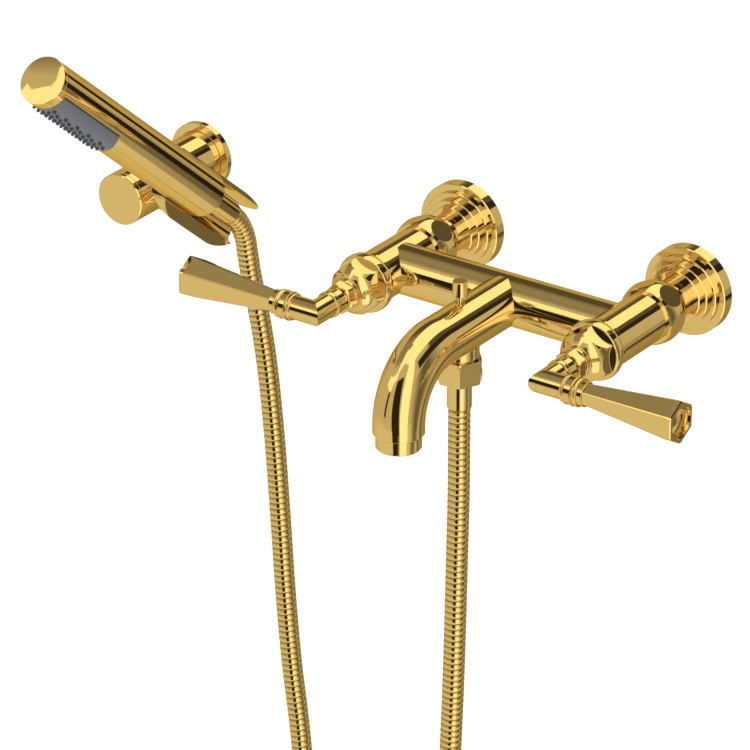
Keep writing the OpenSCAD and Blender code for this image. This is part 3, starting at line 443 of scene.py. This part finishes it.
# wound hose: radius = R - groove depth * g(s / pitch - turn), with the groove a narrow valley between round bands
def woundHose(name, line, distance, first, last, f, body=None):
    step = f["pitch"] / f["rowsPerTurn"]
    s = np.arange(first, last + step / 2, step)
    s[-1] = last
    onLine = lambda at: np.stack([np.interp(at, distance, line[:, k]) for k in range(3)], axis=1)
    centre = onLine(s)
    ahead = onLine(s + 0.6) - onLine(s - 0.6)
    ahead /= np.linalg.norm(ahead, axis=1, keepdims=True)
    sideways = np.zeros_like(ahead)
    u = np.array([1.0, 0.0, 0.0])
    for k, a in enumerate(ahead):        # carried along so the skin doesn't twist
        u = u - (u @ a) * a
        u /= np.linalg.norm(u)
        sideways[k] = u
    other = np.cross(ahead, sideways)
    angle = np.arange(f["sides"]) * 2 * math.pi / f["sides"]
    phase = (s[:, None] / f["pitch"] - angle[None] / (2 * math.pi)) % 1.0
    valley = np.clip(1 - np.minimum(phase, 1 - phase) / f["valley"], 0, 1) ** 1.3
    crown = f["crown"] * (2 * (phase - 0.5)) ** 2
    radius = f["diameter"] / 2 - f["groove"] * valley - crown
    out = np.cos(angle)[None, :, None] * sideways[:, None] + np.sin(angle)[None, :, None] * other[:, None]
    skin = centre[:, None] + radius[..., None] * out
    alongS = np.gradient(skin, axis=0)
    aroundT = np.roll(skin, -1, 1) - np.roll(skin, 1, 1)
    normal = np.cross(aroundT, alongS)
    normal /= np.linalg.norm(normal, axis=2, keepdims=True)
    normal *= np.sign((normal * out).sum(2, keepdims=True))
    points = np.concatenate([np.repeat(centre[:1, None], f["sides"], 1), skin,
                             np.repeat(centre[-1:, None], f["sides"], 1)])
    side4 = np.stack([normal[:-1], np.roll(normal[:-1], -1, 1), np.roll(normal[1:], -1, 1), normal[1:]], axis=2)
    endCap = lambda n: np.broadcast_to(n, (1, f["sides"], 4, 3))
    quadNormals = np.concatenate([endCap(-ahead[0]), side4, endCap(ahead[-1])])
    vertices, faces, corners = gridFaces(points, quadNormals)
    piece = putMesh(name, vertices, faces, corners, upright(0, 0), hoseGold, body, slot="spiral_hose")
    # how deep in a groove each point lies, kept as the mask for the painted shade in the grooves
    depth = np.zeros(len(vertices), np.float32)
    depth[1:-1] = np.clip(valley.ravel() * 0.9, 0, 1)
    piece.data.attributes.new("groove", "FLOAT", "POINT").data.foreach_set("value", depth)
    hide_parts("hose")
    return piece, centre


hoseCurve, hoseKnots = hoseLine(hoseShape["route"])
hoseDistance = np.concatenate([[0], np.cumsum(np.linalg.norm(np.diff(hoseCurve, axis=0), axis=1))])
standingAt = hoseDistance[hoseKnots[hoseShape["standing"]]]
partingAt = hoseDistance[hoseKnots[hoseShape["parting"]]]
hoseEnd = hoseDistance[-1]
lowerHose, lowerPath = woundHose("hose_lower", hoseCurve, hoseDistance, 0.0, standingAt, hoseShape, "mixer")
middleHose, middlePath = woundHose("hose_middle", hoseCurve, hoseDistance, standingAt, partingAt, hoseShape)
upperHose, upperPath = woundHose("hose_upper", hoseCurve, hoseDistance, partingAt, hoseEnd, hoseShape)
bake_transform(middleHose)
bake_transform(upperHose)
print("hose length", round(hoseEnd, 1), "mm, parted at", round(standingAt, 1), "and", round(partingAt, 1))

valveShape = {
    "escutcheon": [[31.0, 9.2], [25.7, 12.0], [21.4, 16.0], [18.0, 20.0]],
    "wall": 2.4, "chamfer": 0.6,
    "tail": 14.0,
    "unionBall": 21.7, "unionFlat": 20.0, "unionCentre": 48.5, "unionBack": 33.0, "unionFront": 58.5,
    "unionTurn": -10.8,
    "body": 17.6, "bodyRing": 18.8,
    "crown": 20.8,
    "bonnetBall": 19.0, "bonnetFlat": 16.4, "bonnetCentre": 124.5, "bonnetTurn": {"hot": 45.0, "cold": 0.0},
    "gland": 9.5,
}


# escutcheon: each tier is [radius, height], a wall up from the last tier's height, a chamfer and a flat top; the
# inside follows it one wall's thickness away
def makeEscutcheon(name, place, f):
    tiers = f["escutcheon"]
    w, c, foot, top = f["wall"], f["chamfer"], f["tail"] + 0.06, tiers[-1][1]
    starts = [0.0] + [reach for r, reach in tiers[:-1]]
    outer = [[[r, start], [r, reach - c], [r - c, reach]] for (r, reach), start in zip(tiers, starts)]
    inner = [[[r - w, reach - w], [r - w, max(start - w, 0.0)]] for (r, reach), start in zip(tiers, starts)]
    profile = sum(outer, []) + [[foot, top], [foot, top - w]] + sum(inner[::-1], [])
    turned(name + "_escutcheon_shell", profile, place, "mixer", [name + "_escutcheon"], ease=0.0, closed=True,
           sides=144)


# the valve's train along its axis, from the wall outwards: tail, union nut, body, bonnet and gland nut
def makeValve(name, side, f):
    place = atValve(side)
    makeEscutcheon(name, place, f)
    turned(name + "_tail_shell", [[7.5, -14], [9.4, -14], [10.4, -13], [10.4, 0], [12.4, 2], [14, 6], [14, 35],
                                  [15.7, 35], [15.7, 37.6], [7.5, 37.6]], place, "mixer", [name + "_union_tail"],
           ease=0.2, closed=True)
    rows = ballRows(f["unionCentre"], f["unionBall"], f["unionFlat"], f["unionBack"], f["unionFront"])
    rows = [[rows[0][0], 14.06, 20.0]] + rows + [[rows[-1][0], 17.65, 20.0]]
    flatted(name + "_union_nut_shell", rows, place, "mixer", [name + "_union_nut"], turn=side * f["unionTurn"])
    turned(name + "_body_shell", [[7.5, 39.2], [15.8, 39.2], [15.8, 54.5], [f["body"], 54.5], [f["body"], 110.2],
                                  [f["bodyRing"], 110.2], [f["bodyRing"], 113.8], [13.6, 113.8], [13.6, 105.7],
                                  [11, 105.7], [11, 72], [7.5, 72]], place, "mixer", [name + "_valve_body"],
           ease=0.4, closed=True, sides=128)
    turned(name + "_crown_shell", [[13.5, 113.8]] + rim(f["crown"], 113.8, 122.5, 1.9, 14)
           + [[10.95, 122.5], [10.95, 105.9], [13.5, 105.9]], place, "mixer", [name + "_bonnet"], ease=0.3,
           closed=True, sides=128)
    rows = ballRows(f["bonnetCentre"], f["bonnetBall"], f["bonnetFlat"], 122.0, 140.0)
    rows = [[122.0, 10.9, 16.4]] + rows + [[140.0, 6.1, 16.4]]
    flatted(name + "_bonnet_ball", rows, place, "mixer", turn=f["bonnetTurn"][name])
    turned(name + "_bonnet_rim", [[6.05, 139.9]] + rim(10.8, 140.0, 143.0, 0.9) + [[6.05, 143.0]], place, "mixer",
           ease=0.0, closed=True)
    g = f["gland"]
    rows = [[143.0, 4.6, g], [143.0, g + 0.3, g], [143.9, g + 1.2, g], [149.1, g + 1.2, g], [150.0, g + 0.3, g],
            [150.0, 4.6, g]]
    flatted(name + "_gland_shell", rows, place, "mixer", [name + "_gland_nut"], turn=f["bonnetTurn"][name])


for name, side in (("hot", -1), ("cold", 1)):
    makeValve(name, side, valveShape)
print("wall connections and valves made")

spoutShape = {
    "bar": 17.3, "barReach": 85.0,
    "radius": 17.1, "wall": 2.6, "bend": 42.0, "reach": 209.6, "drop": 47.5,
    "bendSteps": 40, "sides": 112, "lip": 0.5,
}


def makeBar(f):
    place = Place((0, -f["barReach"], 0), (0, 1, 0), (0, 0, 1), (1, 0, 0))
    turned("cross_bar_shell", [[9, -84], [f["bar"], -84], [f["bar"], 84], [9, 84]], place, "mixer", ["cross_bar"],
           ease=0.0, closed=True, sides=160)


# the spout: straight out, a quarter bend, straight down; an outer skin, a mouth rim and an inner skin
def makeSpout(f):
    r, inner = f["radius"], f["radius"] - f["wall"]
    t = np.linspace(0, math.pi / 2, f["bendSteps"] + 1)
    bendAt = f["reach"] - f["bend"]
    centres = [[0, -(f["barReach"] + 4), 0]]
    centres += [[0, -bendAt - f["bend"] * math.sin(a), -f["bend"] * (1 - math.cos(a))] for a in t]
    centres += [[0, -f["reach"], -f["drop"]]]
    ahead = [[0, -1, 0]] + [[0, -math.cos(a), -math.sin(a)] for a in t] + [[0, 0, -1]]
    c, a = np.array(centres), np.array(ahead)
    u = np.repeat([[1.0, 0.0, 0.0]], len(c), 0)
    v = np.cross(a, u)
    angle = np.arange(f["sides"]) * 2 * math.pi / f["sides"]
    out = np.cos(angle)[None, :, None] * u[:, None] + np.sin(angle)[None, :, None] * v[:, None]
    outerSkin = c[:, None] + r * out
    outerSkin[-1, :, 2] += f["lip"]
    lip = [c[-1] + (r - f["lip"]) * out[-1], c[-1] + inner * out[-1]]
    innerSkin = (c[:, None] + inner * out)[::-1][1:]
    points = np.concatenate([outerSkin, np.array(lip), innerSkin])
    down, back = (np.broadcast_to(n, out[0].shape) for n in ([0.0, 0.0, -1.0], [0.0, 1.0, 0.0]))
    starts = np.concatenate([out, [down], -out[::-1][:-1], [back]])
    ends = np.concatenate([out[1:], [down], [down], -out[::-1][1:], [back]])
    quadNormals = np.stack([starts, np.roll(starts, -1, 1), np.roll(ends, -1, 1), ends], axis=2)
    putMesh("spout_shell", *gridFaces(points, quadNormals, True, True), upright(0, 0), gold, "mixer", ["spout"])


makeBar(spoutShape)
makeSpout(spoutShape)
mouth = upright(0, -209.6)
turned("aerator_shell", [[12.5, -42.5], [14.45, -42.5], [14.45, -47.5], [15.1, -47.5], [15.1, -57.2], [14.3, -58.0],
                         [11.2, -58.0], [11.2, -56.5], [12.5, -56.5]][::-1], mouth, "mixer", ["aerator_housing"],
       ease=0.25, closed=True)

outletShape = {
    "knob": 5.1, "knobLow": 22.6, "knobHigh": 33.6,
    "nipple": 13.0,
    "nutFlat": 13.3, "nutBall": 17.0, "nutLow": -37.6, "nutHigh": -20.8, "nutTurn": 35.0,
    "sleeve": 8.25,
}
outlet = upright(0, -140)


# everything on the outlet's upright axis: the knob above the spout, the nipple, nut and sleeve below it
def makeOutlet(f):
    r, low, high = f["knob"], f["knobLow"], f["knobHigh"]
    turned("diverter_knob_shell", [[0, low], [r, low], [r, high], [0, high]], outlet, "diverter", ["diverter_knob"],
           ease=0.7, sides=64)
    r = f["nipple"]
    turned("outlet_nipple_shell", [[6.5, -33], [10.2, -33], [10.4, -32.6], [10.4, -19.4], [r, -19.4], [r, -8],
                                   [6.5, -8]],
           outlet, "mixer", ["outlet_nipple"], ease=0.3, closed=True)
    low, high = f["nutLow"], f["nutHigh"]
    rows = ballRows((low + high) / 2, f["nutBall"], f["nutFlat"], low, high)
    flatted("hose_nut_shell", [[low, 7.75, f["nutFlat"]]] + rows + [[high, 10.45, f["nutFlat"]]], outlet, "mixer",
            ["hose_nut"], turn=f["nutTurn"])
    r = f["sleeve"]
    turned("hose_sleeve_shell", [[4.5, -57.3], [r - 0.7, -57.3], [r, -56.6], [r, low], [7.65, low], [7.65, -36],
                                 [10.2, -36], [10.2, -33.5], [4.5, -33.5]], outlet, "mixer", ["hose_sleeve"], ease=0.2,
           closed=True, sides=72)


makeOutlet(outletShape)
print("bar, spout and outlet made")

leverShape = {
    "tube": 8.1, "neck": 8.3, "ring": 9.3,
    "root": 8.0, "tip": 15.0, "length": 101.75, "band": 3.75, "chamfer": 0.6,
    "cornerLeft": 0.975,                   # how much of a corner is left after polishing
    "button": 11.0, "buttonSeat": 2.0, "buttonDome": 19.4,
}


# elbow: two straight tubes that meet in a mitre, so the middle ring is where both skins cross
def makeElbow(name, side, f):
    place = atValve(side)
    sides = 96
    angle = np.arange(sides) * 2 * math.pi / sides
    r = f["tube"]
    ring = np.stack([np.cos(angle), np.sin(angle)], axis=1)
    zero = np.zeros(sides)
    first = np.stack([r * ring[:, 0], r * ring[:, 1], zero + 161.0], axis=1)
    mitre = np.stack([r * ring[:, 0], r * ring[:, 1], leverReach - r * ring[:, 0]], axis=1)
    last = np.stack([zero + 15.5, r * ring[:, 1], leverReach - r * ring[:, 0]], axis=1)
    middle = lambda p: np.broadcast_to(p.mean(0), p.shape)
    points = np.stack([middle(first), first, mitre, last, middle(last)])
    nFirst = np.stack([ring[:, 0], ring[:, 1], zero], axis=1)
    nLast = np.stack([zero, ring[:, 1], -ring[:, 0]], axis=1)
    cap = lambda n: np.broadcast_to(n, (sides, 3))
    rowNormals = [cap([0, 0, -1.0]), nFirst, nLast, cap([1.0, 0, 0])]
    quadNormals = np.stack([np.stack([n, np.roll(n, -1, 0), np.roll(n, -1, 0), n], axis=1) for n in rowNormals])
    putMesh(name + "_elbow_tube", *gridFaces(points, quadNormals), place, gold, name + "_handle")
    turned(name + "_elbow_neck", [[4.55, 150.3], [f["neck"], 150.3], [f["neck"], 158.0]]
           + rim(f["ring"], 158.0, 162.0, 1.0) + [[4.55, 162.0]], place, name + "_handle", [name + "_elbow"],
           ease=0.2, closed=True, sides=80)


# lever: collar and waist are turned; the flare's rows widen evenly, so each of its six flats is one plane; the
# button is a ring round a bowl, both on a sphere h = top - R + sqrt(R^2 - x^2)
def makeLever(name, side, f):
    place = alongLever(side)
    body = name + "_handle"
    turned(name + "_collar_shell",
           [[5.05, 15.5]] + rim(9.3, 15.5, 18.0, 0.8) + [[8.6, 18.0], [8.6, 18.5]] + rim(9.9, 18.5, 19.1, 0.3, 4)
           + rim(9.9, 23.7, 24.3, 0.3, 4) + [[8.9, 24.3], [8.9, 24.9]] + rim(9.7, 24.9, 28.0, 0.8) + [[5.05, 28.0]],
           place, body, [name + "_collar"], ease=0.0, closed=True, sides=96)
    turned(name + "_lever_waist", [[5.05, 28.0], [8.3, 28.0], [8.3, 32.0], [5.05, 32.0]], place, body, ease=0.4,
           closed=True, sides=80)
    end, band, cut = f["length"], f["band"], f["chamfer"]
    base, b, tip = end - f["buttonSeat"], f["button"], f["tip"]
    c30 = math.cos(math.pi / 6)
    row = lambda h, corner: [h, corner * f["cornerLeft"], corner * c30]
    rows = [[31.9, 0.0, f["root"] * c30], row(31.9, f["root"]), row(end - band, tip), row(end - cut, tip),
            row(end, tip - cut), [end, b + 0.05, tip * c30 - cut], [base, b + 0.05, tip * c30], [base, 0.0, tip * c30]]
    flatted(name + "_lever_flare", rows, place, body, [name + "_lever"])
    ball = f["buttonDome"]
    onBall = lambda x, rise: [x, base + rise - ball + math.sqrt(ball ** 2 - x * x)]
    dome = [onBall(x, 2.4) for x in np.linspace(b - 2.2, b - 3.6, 5)]
    bowl = [onBall(x, 1.6) for x in np.linspace(b - 3.6, 0, 16)]
    turned(name + "_button_shell", [[0, base], [b, base], [b, base + 1.0], [b - 2.0, base + 1.0]] + dome + bowl,
           place, body, [name + "_end_button"], ease=0.0, sides=96)


for name, side in (("hot", -1), ("cold", 1)):
    makeElbow(name, side, leverShape)
    makeLever(name, side, leverShape)
print("levers made")

bracketShape = {
    "arm": 18.5, "armEnd": 44.0,
    "flange": 24.5, "flangeDepth": 5.0,
    "knobStart": 71.0, "knobEnd": 96.5, "knobGroove": 4.6,
}


# flange, arm and clamp knob, all turned about the bracket's axis
def makeBracket(f):
    a, wide, deep, end = f["arm"], f["flange"], f["flangeDepth"], f["armEnd"]
    turned("bracket_flange_shell", [[a + 0.05, 0], [wide, 0], [wide, deep], [a + 0.05, deep]],
           bracketPlace, "mixer", ["bracket_flange"], ease=0.5, closed=True, sides=128)
    turned("bracket_arm_shell", [[a - 2.5, 0], [a, 0], [a, end], [4.05, end], [4.05, 32], [7.05, 28], [7.05, 10],
                                 [a - 2.5, 10]],
           bracketPlace, "mixer", ["bracket_arm"], ease=0.3, closed=True, sides=128)
    start, end = f["knobStart"], f["knobEnd"]
    g = end - f["knobGroove"]
    turned("clamp_knob_shell", [[4.05, start], [a, start], [a, g], [a - 0.6, g + 0.1], [a - 0.6, g + 0.8], [a, g + 0.9],
                                [a, end - 0.7], [a - 0.7, end], [0, end], [0, 88.3], [4.05, 88.3]],
           bracketPlace, "clamp", ["clamp_knob"], ease=0.15, sides=128)


makeBracket(bracketShape)

handsetShape = {
    "radius": 16.75, "length": 222.0, "cap": 3.2, "crown": 1.3,
    "faceStart": 133.0, "faceEnd": 214.0, "cut": 6.0, "roundEnd": 20.0, "proud": 0.12, "gap": 0.35,
    "nubPitch": 7.6, "nubRows": 10, "nubStep": 14.0,
    "nub": [[1.5, 0.0], [1.2, 0.5], [1.0, 1.5], [0.7, 1.95], [0.0, 2.05]],
}


# spray face: a strip of the barrel's skin; grown by the gap, the same strip is a dark sheet under the face, whose
# rim round it is painted shade for the gap; its half width follows the rounded end, x^2 = R^2 - (z - z0)^2
def putFace(name, grow, proud, material, replaced, slot, f):
    r, reach = f["radius"], f["roundEnd"] + grow
    first, last = f["faceStart"] - grow, f["faceEnd"] + grow
    z = np.concatenate([first + reach * (1 - np.cos(np.linspace(0.02, math.pi / 2, 22))),
                        np.linspace(first + reach + 2, last, 14)])
    full = math.sqrt(r * r - f["cut"] ** 2) + grow
    width = np.where(z < first + reach, np.sqrt(np.maximum(reach ** 2 - (z - first - reach) ** 2, 0.02)), reach)
    width = np.minimum(width, full)
    share = np.linspace(-1, 1, 33)
    angle = np.arcsin(width / r)[:, None] * share[None]
    layer = lambda radius: np.stack([radius * np.sin(angle), -radius * np.cos(angle),
                                     np.repeat(z[:, None], 33, 1)], axis=2)
    top, low = layer(r + proud), layer(r - 0.5)
    n = layer(1.0) * [1, 1, 0]
    skin = np.concatenate([top, low[:, ::-1]], axis=1)
    normals = np.concatenate([n, n[:, ::-1]], axis=1)
    pole = lambda row: np.broadcast_to(row.mean(1, keepdims=True), row.shape)
    cap = lambda n: np.broadcast_to(n, normals[:1].shape)
    skin = np.concatenate([pole(skin[:1]), skin, pole(skin[-1:])])
    normals = np.concatenate([cap([0, 0, -1.0]), normals, cap([0, 0, 1.0])])
    quadNormals = np.stack([normals[:-1], np.roll(normals[:-1], -1, 1),
                            np.roll(normals[1:], -1, 1), normals[1:]], axis=2)
    putMesh(name, *gridFaces(skin, quadNormals), handsetPlace, material, "handset", replaced, slot)


# nubs: one small turned shape, set at each hole's place (angle, height) on the barrel's skin, all as one mesh
def putNubs(f):
    rowNumber, k = np.meshgrid(np.arange(f["nubRows"]), np.arange(-2, 3), indexing="ij")
    lean = np.radians(f["nubStep"] * (k + 0.5 * (rowNumber % 2))).ravel()
    height = (f["faceEnd"] - 6 - rowNumber * f["nubPitch"]).ravel()
    inside = np.abs(lean) < math.radians(2.2 * f["nubStep"])
    lean, height = lean[inside], height[inside]
    shape = np.array(f["nub"])
    tilt = np.array([0.3, 0.25, 0.45, 0.9, 1.0])[None, :, None, None]
    t = np.arange(10) * 2 * math.pi / 10
    zero = np.zeros_like(lean)
    outward = np.stack([np.sin(lean), -np.cos(lean), zero], axis=1)[:, None, None]
    across = np.stack([np.cos(lean), np.sin(lean), zero], axis=1)[:, None, None]
    ring = np.cos(t)[None, None, :, None] * across + np.sin(t)[None, None, :, None] * np.array([0, 0, 1.0])
    centre = np.stack([zero, zero, height], axis=1)[:, None, None] + outward * (f["radius"] + f["proud"])
    grid = centre + shape[None, :, :1, None] * ring + shape[None, :, 1:, None] * outward
    n = ring * (1 - tilt) + outward * tilt
    n = n / np.linalg.norm(n, axis=3, keepdims=True)
    quadNormals = np.stack([n[:, :-1], np.roll(n[:, :-1], -1, 2), np.roll(n[:, 1:], -1, 2), n[:, 1:]], axis=3)
    vertices, faces, corners = [], [], []
    for one, its in zip(grid, quadNormals):
        v, q, c = gridFaces(one, its)
        start = len(v) * len(vertices)
        vertices.append(v)
        faces += [[i + start for i in face] for face in q]
        corners += c
    putMesh("spray_nubs", np.concatenate(vertices), faces, corners, handsetPlace, nubSilicone, "handset",
            slot="grey_silicone")


# barrel, cap and cone about the handset's axis; the cap's dome is h = top - R + sqrt(R^2 - x^2)
def makeHandset(f):
    r, end = f["radius"], f["length"]
    seam = end - f["cap"]
    turned("handset_barrel_shell", [[14.75, 0], [r, 0], [r, seam], [14.75, seam]], handsetPlace, "handset",
           ["handset_barrel"], ease=0.5, closed=True, sides=160)
    bulge = (r * r + f["crown"] ** 2) / 2 / f["crown"]
    dome = [[x, end + f["crown"] - bulge + math.sqrt(bulge ** 2 - x * x)] for x in np.linspace(r - 0.3, 0, 18)]
    turned("handset_cap_shell", [[0, seam - 2.6], [14.7, seam - 2.6], [14.7, seam], [r - 0.3, seam + 0.05],
                                 [r, seam + 0.35], [r, end - 0.3]] + dome,
           handsetPlace, "handset", ["handset_cap"], ease=0.0, sides=160)
    turned("handset_cone_shell", [[4.5, -38], [8.0, -38], [9.0, -37], [9.6, -2], [9.6, 1.5], [13, 1.5], [13, 13.7],
                                  [4.5, 13.7]],
           handsetPlace, "handset", ["handset_cone"], ease=0.4, closed=True, sides=96)
    putFace("spray_face_skin", 0.0, f["proud"], silicone, ["spray_face"], "grey_silicone", f)
    # painted shade: a black rubber sheet just under the face and a little wider, for the gap round it
    putFace("spray_face_gap_shade", f["gap"], f["proud"] / 3, rubber, [], "black_rubber", f)
    putNubs(f)


# the cradle's solid, copied and merged, with exact normals. Each surface is a cylinder along a place's z: the place,
# its radius and its centre (x, y); points within "soft" of one lie on it, and other faces stay flat
cradleShape = {
    "surfaces": [(bracketPlace, 18.5, 0.0, 0.0), (handsetPlace, 17.4, 0.0, 0.0), (handsetPlace, 26.0, 7.0, -3.3)],
    "soft": 0.06,
}


def makeCradle(f):
    solid = frame["nodes"]["cradle"]
    work = bmesh.new()
    work.from_mesh(solid.data)
    work.transform(solid.matrix_world)
    bmesh.ops.remove_doubles(work, verts=work.verts, dist=1e-6)
    mesh = bpy.data.meshes.new("cradle_shell")
    work.to_mesh(mesh)
    work.free()
    count = len(mesh.loops)
    corner = np.empty(count, np.int64)
    mesh.loops.foreach_get("vertex_index", corner)
    spots = np.empty(len(mesh.vertices) * 3)
    mesh.vertices.foreach_get("co", spots)
    spots = spots.reshape(-1, 3) / mm
    faceOf = np.repeat(np.arange(len(mesh.polygons)), [q.loop_total for q in mesh.polygons])
    facing = np.empty(len(mesh.polygons) * 3)
    mesh.polygons.foreach_get("normal", facing)
    normals = facing.reshape(-1, 3)[faceOf]
    for place, size, x, y in f["surfaces"]:
        local = (spots - place.origin) @ place.axes.T
        out = (local - [x, y, 0]) * [1, 1, 0]
        reach = np.linalg.norm(out, axis=1)
        on = np.abs(reach - size) < f["soft"]
        faceOn = np.ones(len(mesh.polygons), bool)
        np.logical_and.at(faceOn, faceOf, on[corner])
        radial = (out / np.maximum(reach, 1e-9)[:, None]) @ place.axes
        along = (normals * radial[corner]).sum(1)
        use = faceOn[faceOf] & (np.abs(along) > 0.9)
        normals = np.where(use[:, None], radial[corner] * np.sign(along)[:, None], normals)
    mesh.shade_smooth()
    mesh.normals_split_custom_set(normals.tolist())
    mesh.materials.clear()
    mesh.materials.append(gold)
    piece = bpy.data.objects.new("cradle_shell", mesh)
    bpy.context.scene.collection.objects.link(piece)
    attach(piece, "swivel")
    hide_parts("cradle")


makeCradle(cradleShape)
makeHandset(handsetShape)
print("bracket and handset made")

slotOf = {}
for entry in frame["record"]["materials"]:
    for node in entry.get("nodes", []):
        slotOf[node] = entry["slot"]
for node, solid in frame["nodes"].items():
    solid.data.materials.clear()
    solid.data.materials.append(slotMaterials.get(slotOf.get(node), gold))

studio = {"floorAt": -0.745, "floorSize": 9.0, "base": 0.60, "backdrop": 1.0}


def makeFloor(f):
    s, z = f["floorSize"], f["floorAt"]
    mesh = bpy.data.meshes.new("studio_floor")
    mesh.from_pydata([(-s, -s, z), (s, -s, z), (s, s, z), (-s, s, z)], [], [(0, 1, 2, 3)])
    floor = bpy.data.objects.new("studio_floor", mesh)
    bpy.context.scene.collection.objects.link(floor)
    material, m = newMaterial("pale_floor")
    m.finish({"Base Color": (0.5, 0.5, 0.5, 1), "Roughness": 0.9, "Emission Color": (1, 1, 1, 1),
              "Emission Strength": 0.75}, {})
    mesh.materials.append(material)
    floor.visible_glossy = False           # the room's own light shows in the gold instead


# the room is a soft grey with flat panels, lit or dark; a later one covers an earlier one. Each stands square to a
# direction (azimuth from the wall's outward normal, height, lean, in degrees); its sides are (from, to) in tangents
# from there, then come its light and the softness of its sides
roomPanels = [
    {"at": (0, -90, 0), "across": (-2.2, 2.2), "up": (-0.7, 2.2), "light": 0.74, "soft": (1.6, 0.8)},
    {"at": (170, -30, 0), "across": (-0.6, 0.6), "up": (-0.5, 0.35), "light": 0.40, "soft": (0.15, 0.1)},
    {"at": (137.5, -31, 0), "across": (-0.05, 0.05), "up": (-0.05, 0.06), "light": 0.15, "soft": (0.02, 0.02)},
    {"at": (160, -15, 0), "across": (-0.36, -0.20), "up": (-0.80, -0.13), "light": 0.17, "soft": (0.05, 0.02)},
    {"at": (160, -15, 0), "across": (-0.26, -0.09), "up": (-0.13, 0.07), "light": 0.02, "soft": (0.015, 0.02)},
    {"at": (160, -15, 0), "across": (0.14, 0.31), "up": (0.07, 0.21), "light": 0.03, "soft": (0.02, 0.015)},
    {"at": (0, 90, 0), "across": (-1.25, -0.50), "up": (-0.42, 2.0), "light": 0.30, "soft": (0.25, 0.3)},
    {"at": (0, 90, 0), "across": (-1.15, -0.60), "up": (0.55, 1.5), "light": 0.10, "soft": (0.35, 0.35)},
    {"at": (0, 90, 0), "across": (0.72, 1.35), "up": (-0.25, 2.6), "light": 0.03, "soft": (0.07, 0.08)},
    {"at": (0, 90, 0), "across": (0.37, 0.68), "up": (0.25, 1.7), "light": 0.11, "soft": (0.05, 0.1)},
    {"at": (103, 0, -15), "across": (-0.10, 0.08), "up": (-0.5, 0.6), "light": 0.15, "soft": (0.4, 0.2)},
    {"at": (0, 90, 0), "across": (-0.50, 0.35), "up": (-0.50, 1.45), "light": 1.35, "soft": (0.03, 0.04)},
    {"at": (0, 90, 0), "across": (-0.60, -0.40), "up": (-0.12, 0.02), "light": 0.33, "soft": (0.02, 0.02)},
    {"at": (15, 0, -14), "across": (-0.25, 0.26), "up": (-0.56, 0.95), "light": 0.025, "soft": (0.03, 0.12)},
    {"at": (52, 0, -9), "across": (-0.27, 0.27), "up": (-1.5, 2.5), "light": 1.38, "soft": (0.03, 0.1)},
    {"at": (-31, 8, 0), "across": (-0.06, 0.06), "up": (-0.25, 0.2), "light": 0.02, "soft": (0.02, 0.05)},
    {"at": (-31, 40, 0), "across": (-0.06, 0.06), "up": (-0.28, 0.5), "light": 1.3, "soft": (0.02, 0.05)},
    {"at": (-48, 30, 0), "across": (-0.13, 0.25), "up": (-0.16, 0.02), "light": 1.3, "soft": (0.008, 0.006)},
    {"at": (-48, 30, -49), "across": (0.0, 0.47), "up": (-0.16, 0.027), "light": 1.3, "soft": (0.008, 0.006)},
    {"at": (-48, 30, -49), "across": (0.33, 0.47), "up": (0.0, 0.26), "light": 1.3, "soft": (0.01, 0.01)},
]


# a panel's part of the sky: x = R.across / R.at and y = R.up / R.at, both between the panel's sides, with R.at > 0
def makeRoom(panels, f):
    world = bpy.data.worlds.new("studio_room")
    bpy.context.scene.world = world
    world.use_nodes = True
    m = Maker(world.node_tree)
    sight = m.node("ShaderNodeTexCoord", out=0)
    light = m.node("ShaderNodeValue")
    light.socket.default_value = f["base"]
    for p in panels:
        a, e, lean = (math.radians(x) for x in p["at"])
        at = np.array([math.cos(e) * math.sin(a), -math.cos(e) * math.cos(a), math.sin(e)])
        flat = np.array([math.cos(a), math.sin(a), 0.0])
        rise = np.array([-math.sin(e) * math.sin(a), math.sin(e) * math.cos(a), math.cos(e)])
        across, up = math.cos(lean) * flat - math.sin(lean) * rise, math.sin(lean) * flat + math.cos(lean) * rise
        depth = m.along(sight, tuple(at))
        near = depth.math("MAXIMUM", 0.0001)
        inside = depth.over(0.0, 0.02)
        for axis, sides, soft in ((across, p["across"], p["soft"][0]), (up, p["up"], p["soft"][1])):
            t = m.along(sight, tuple(axis)) / near
            inside = inside * t.over(sides[0] - soft, sides[0]) * (1.0 - t.over(sides[1], sides[1] + soft))
        light = light + inside * (p["light"] - light)
    seen = m.node("ShaderNodeLightPath", out=0)
    light = light + seen * (f["backdrop"] - light)
    colour = m.node("ShaderNodeCombineColor", inputs={0: light, 1: light, 2: light})
    shade = m.node("ShaderNodeBackground", inputs={0: colour, 1: 1.0})
    m.node("ShaderNodeOutputWorld", inputs={0: shade})


makeFloor(studio)
makeRoom(roomPanels, studio)
print("floor and room made")

lowerPath * mm
middlePath[0] * mm
middlePath * mm
upperPath[0] * mm
upperPath * mm
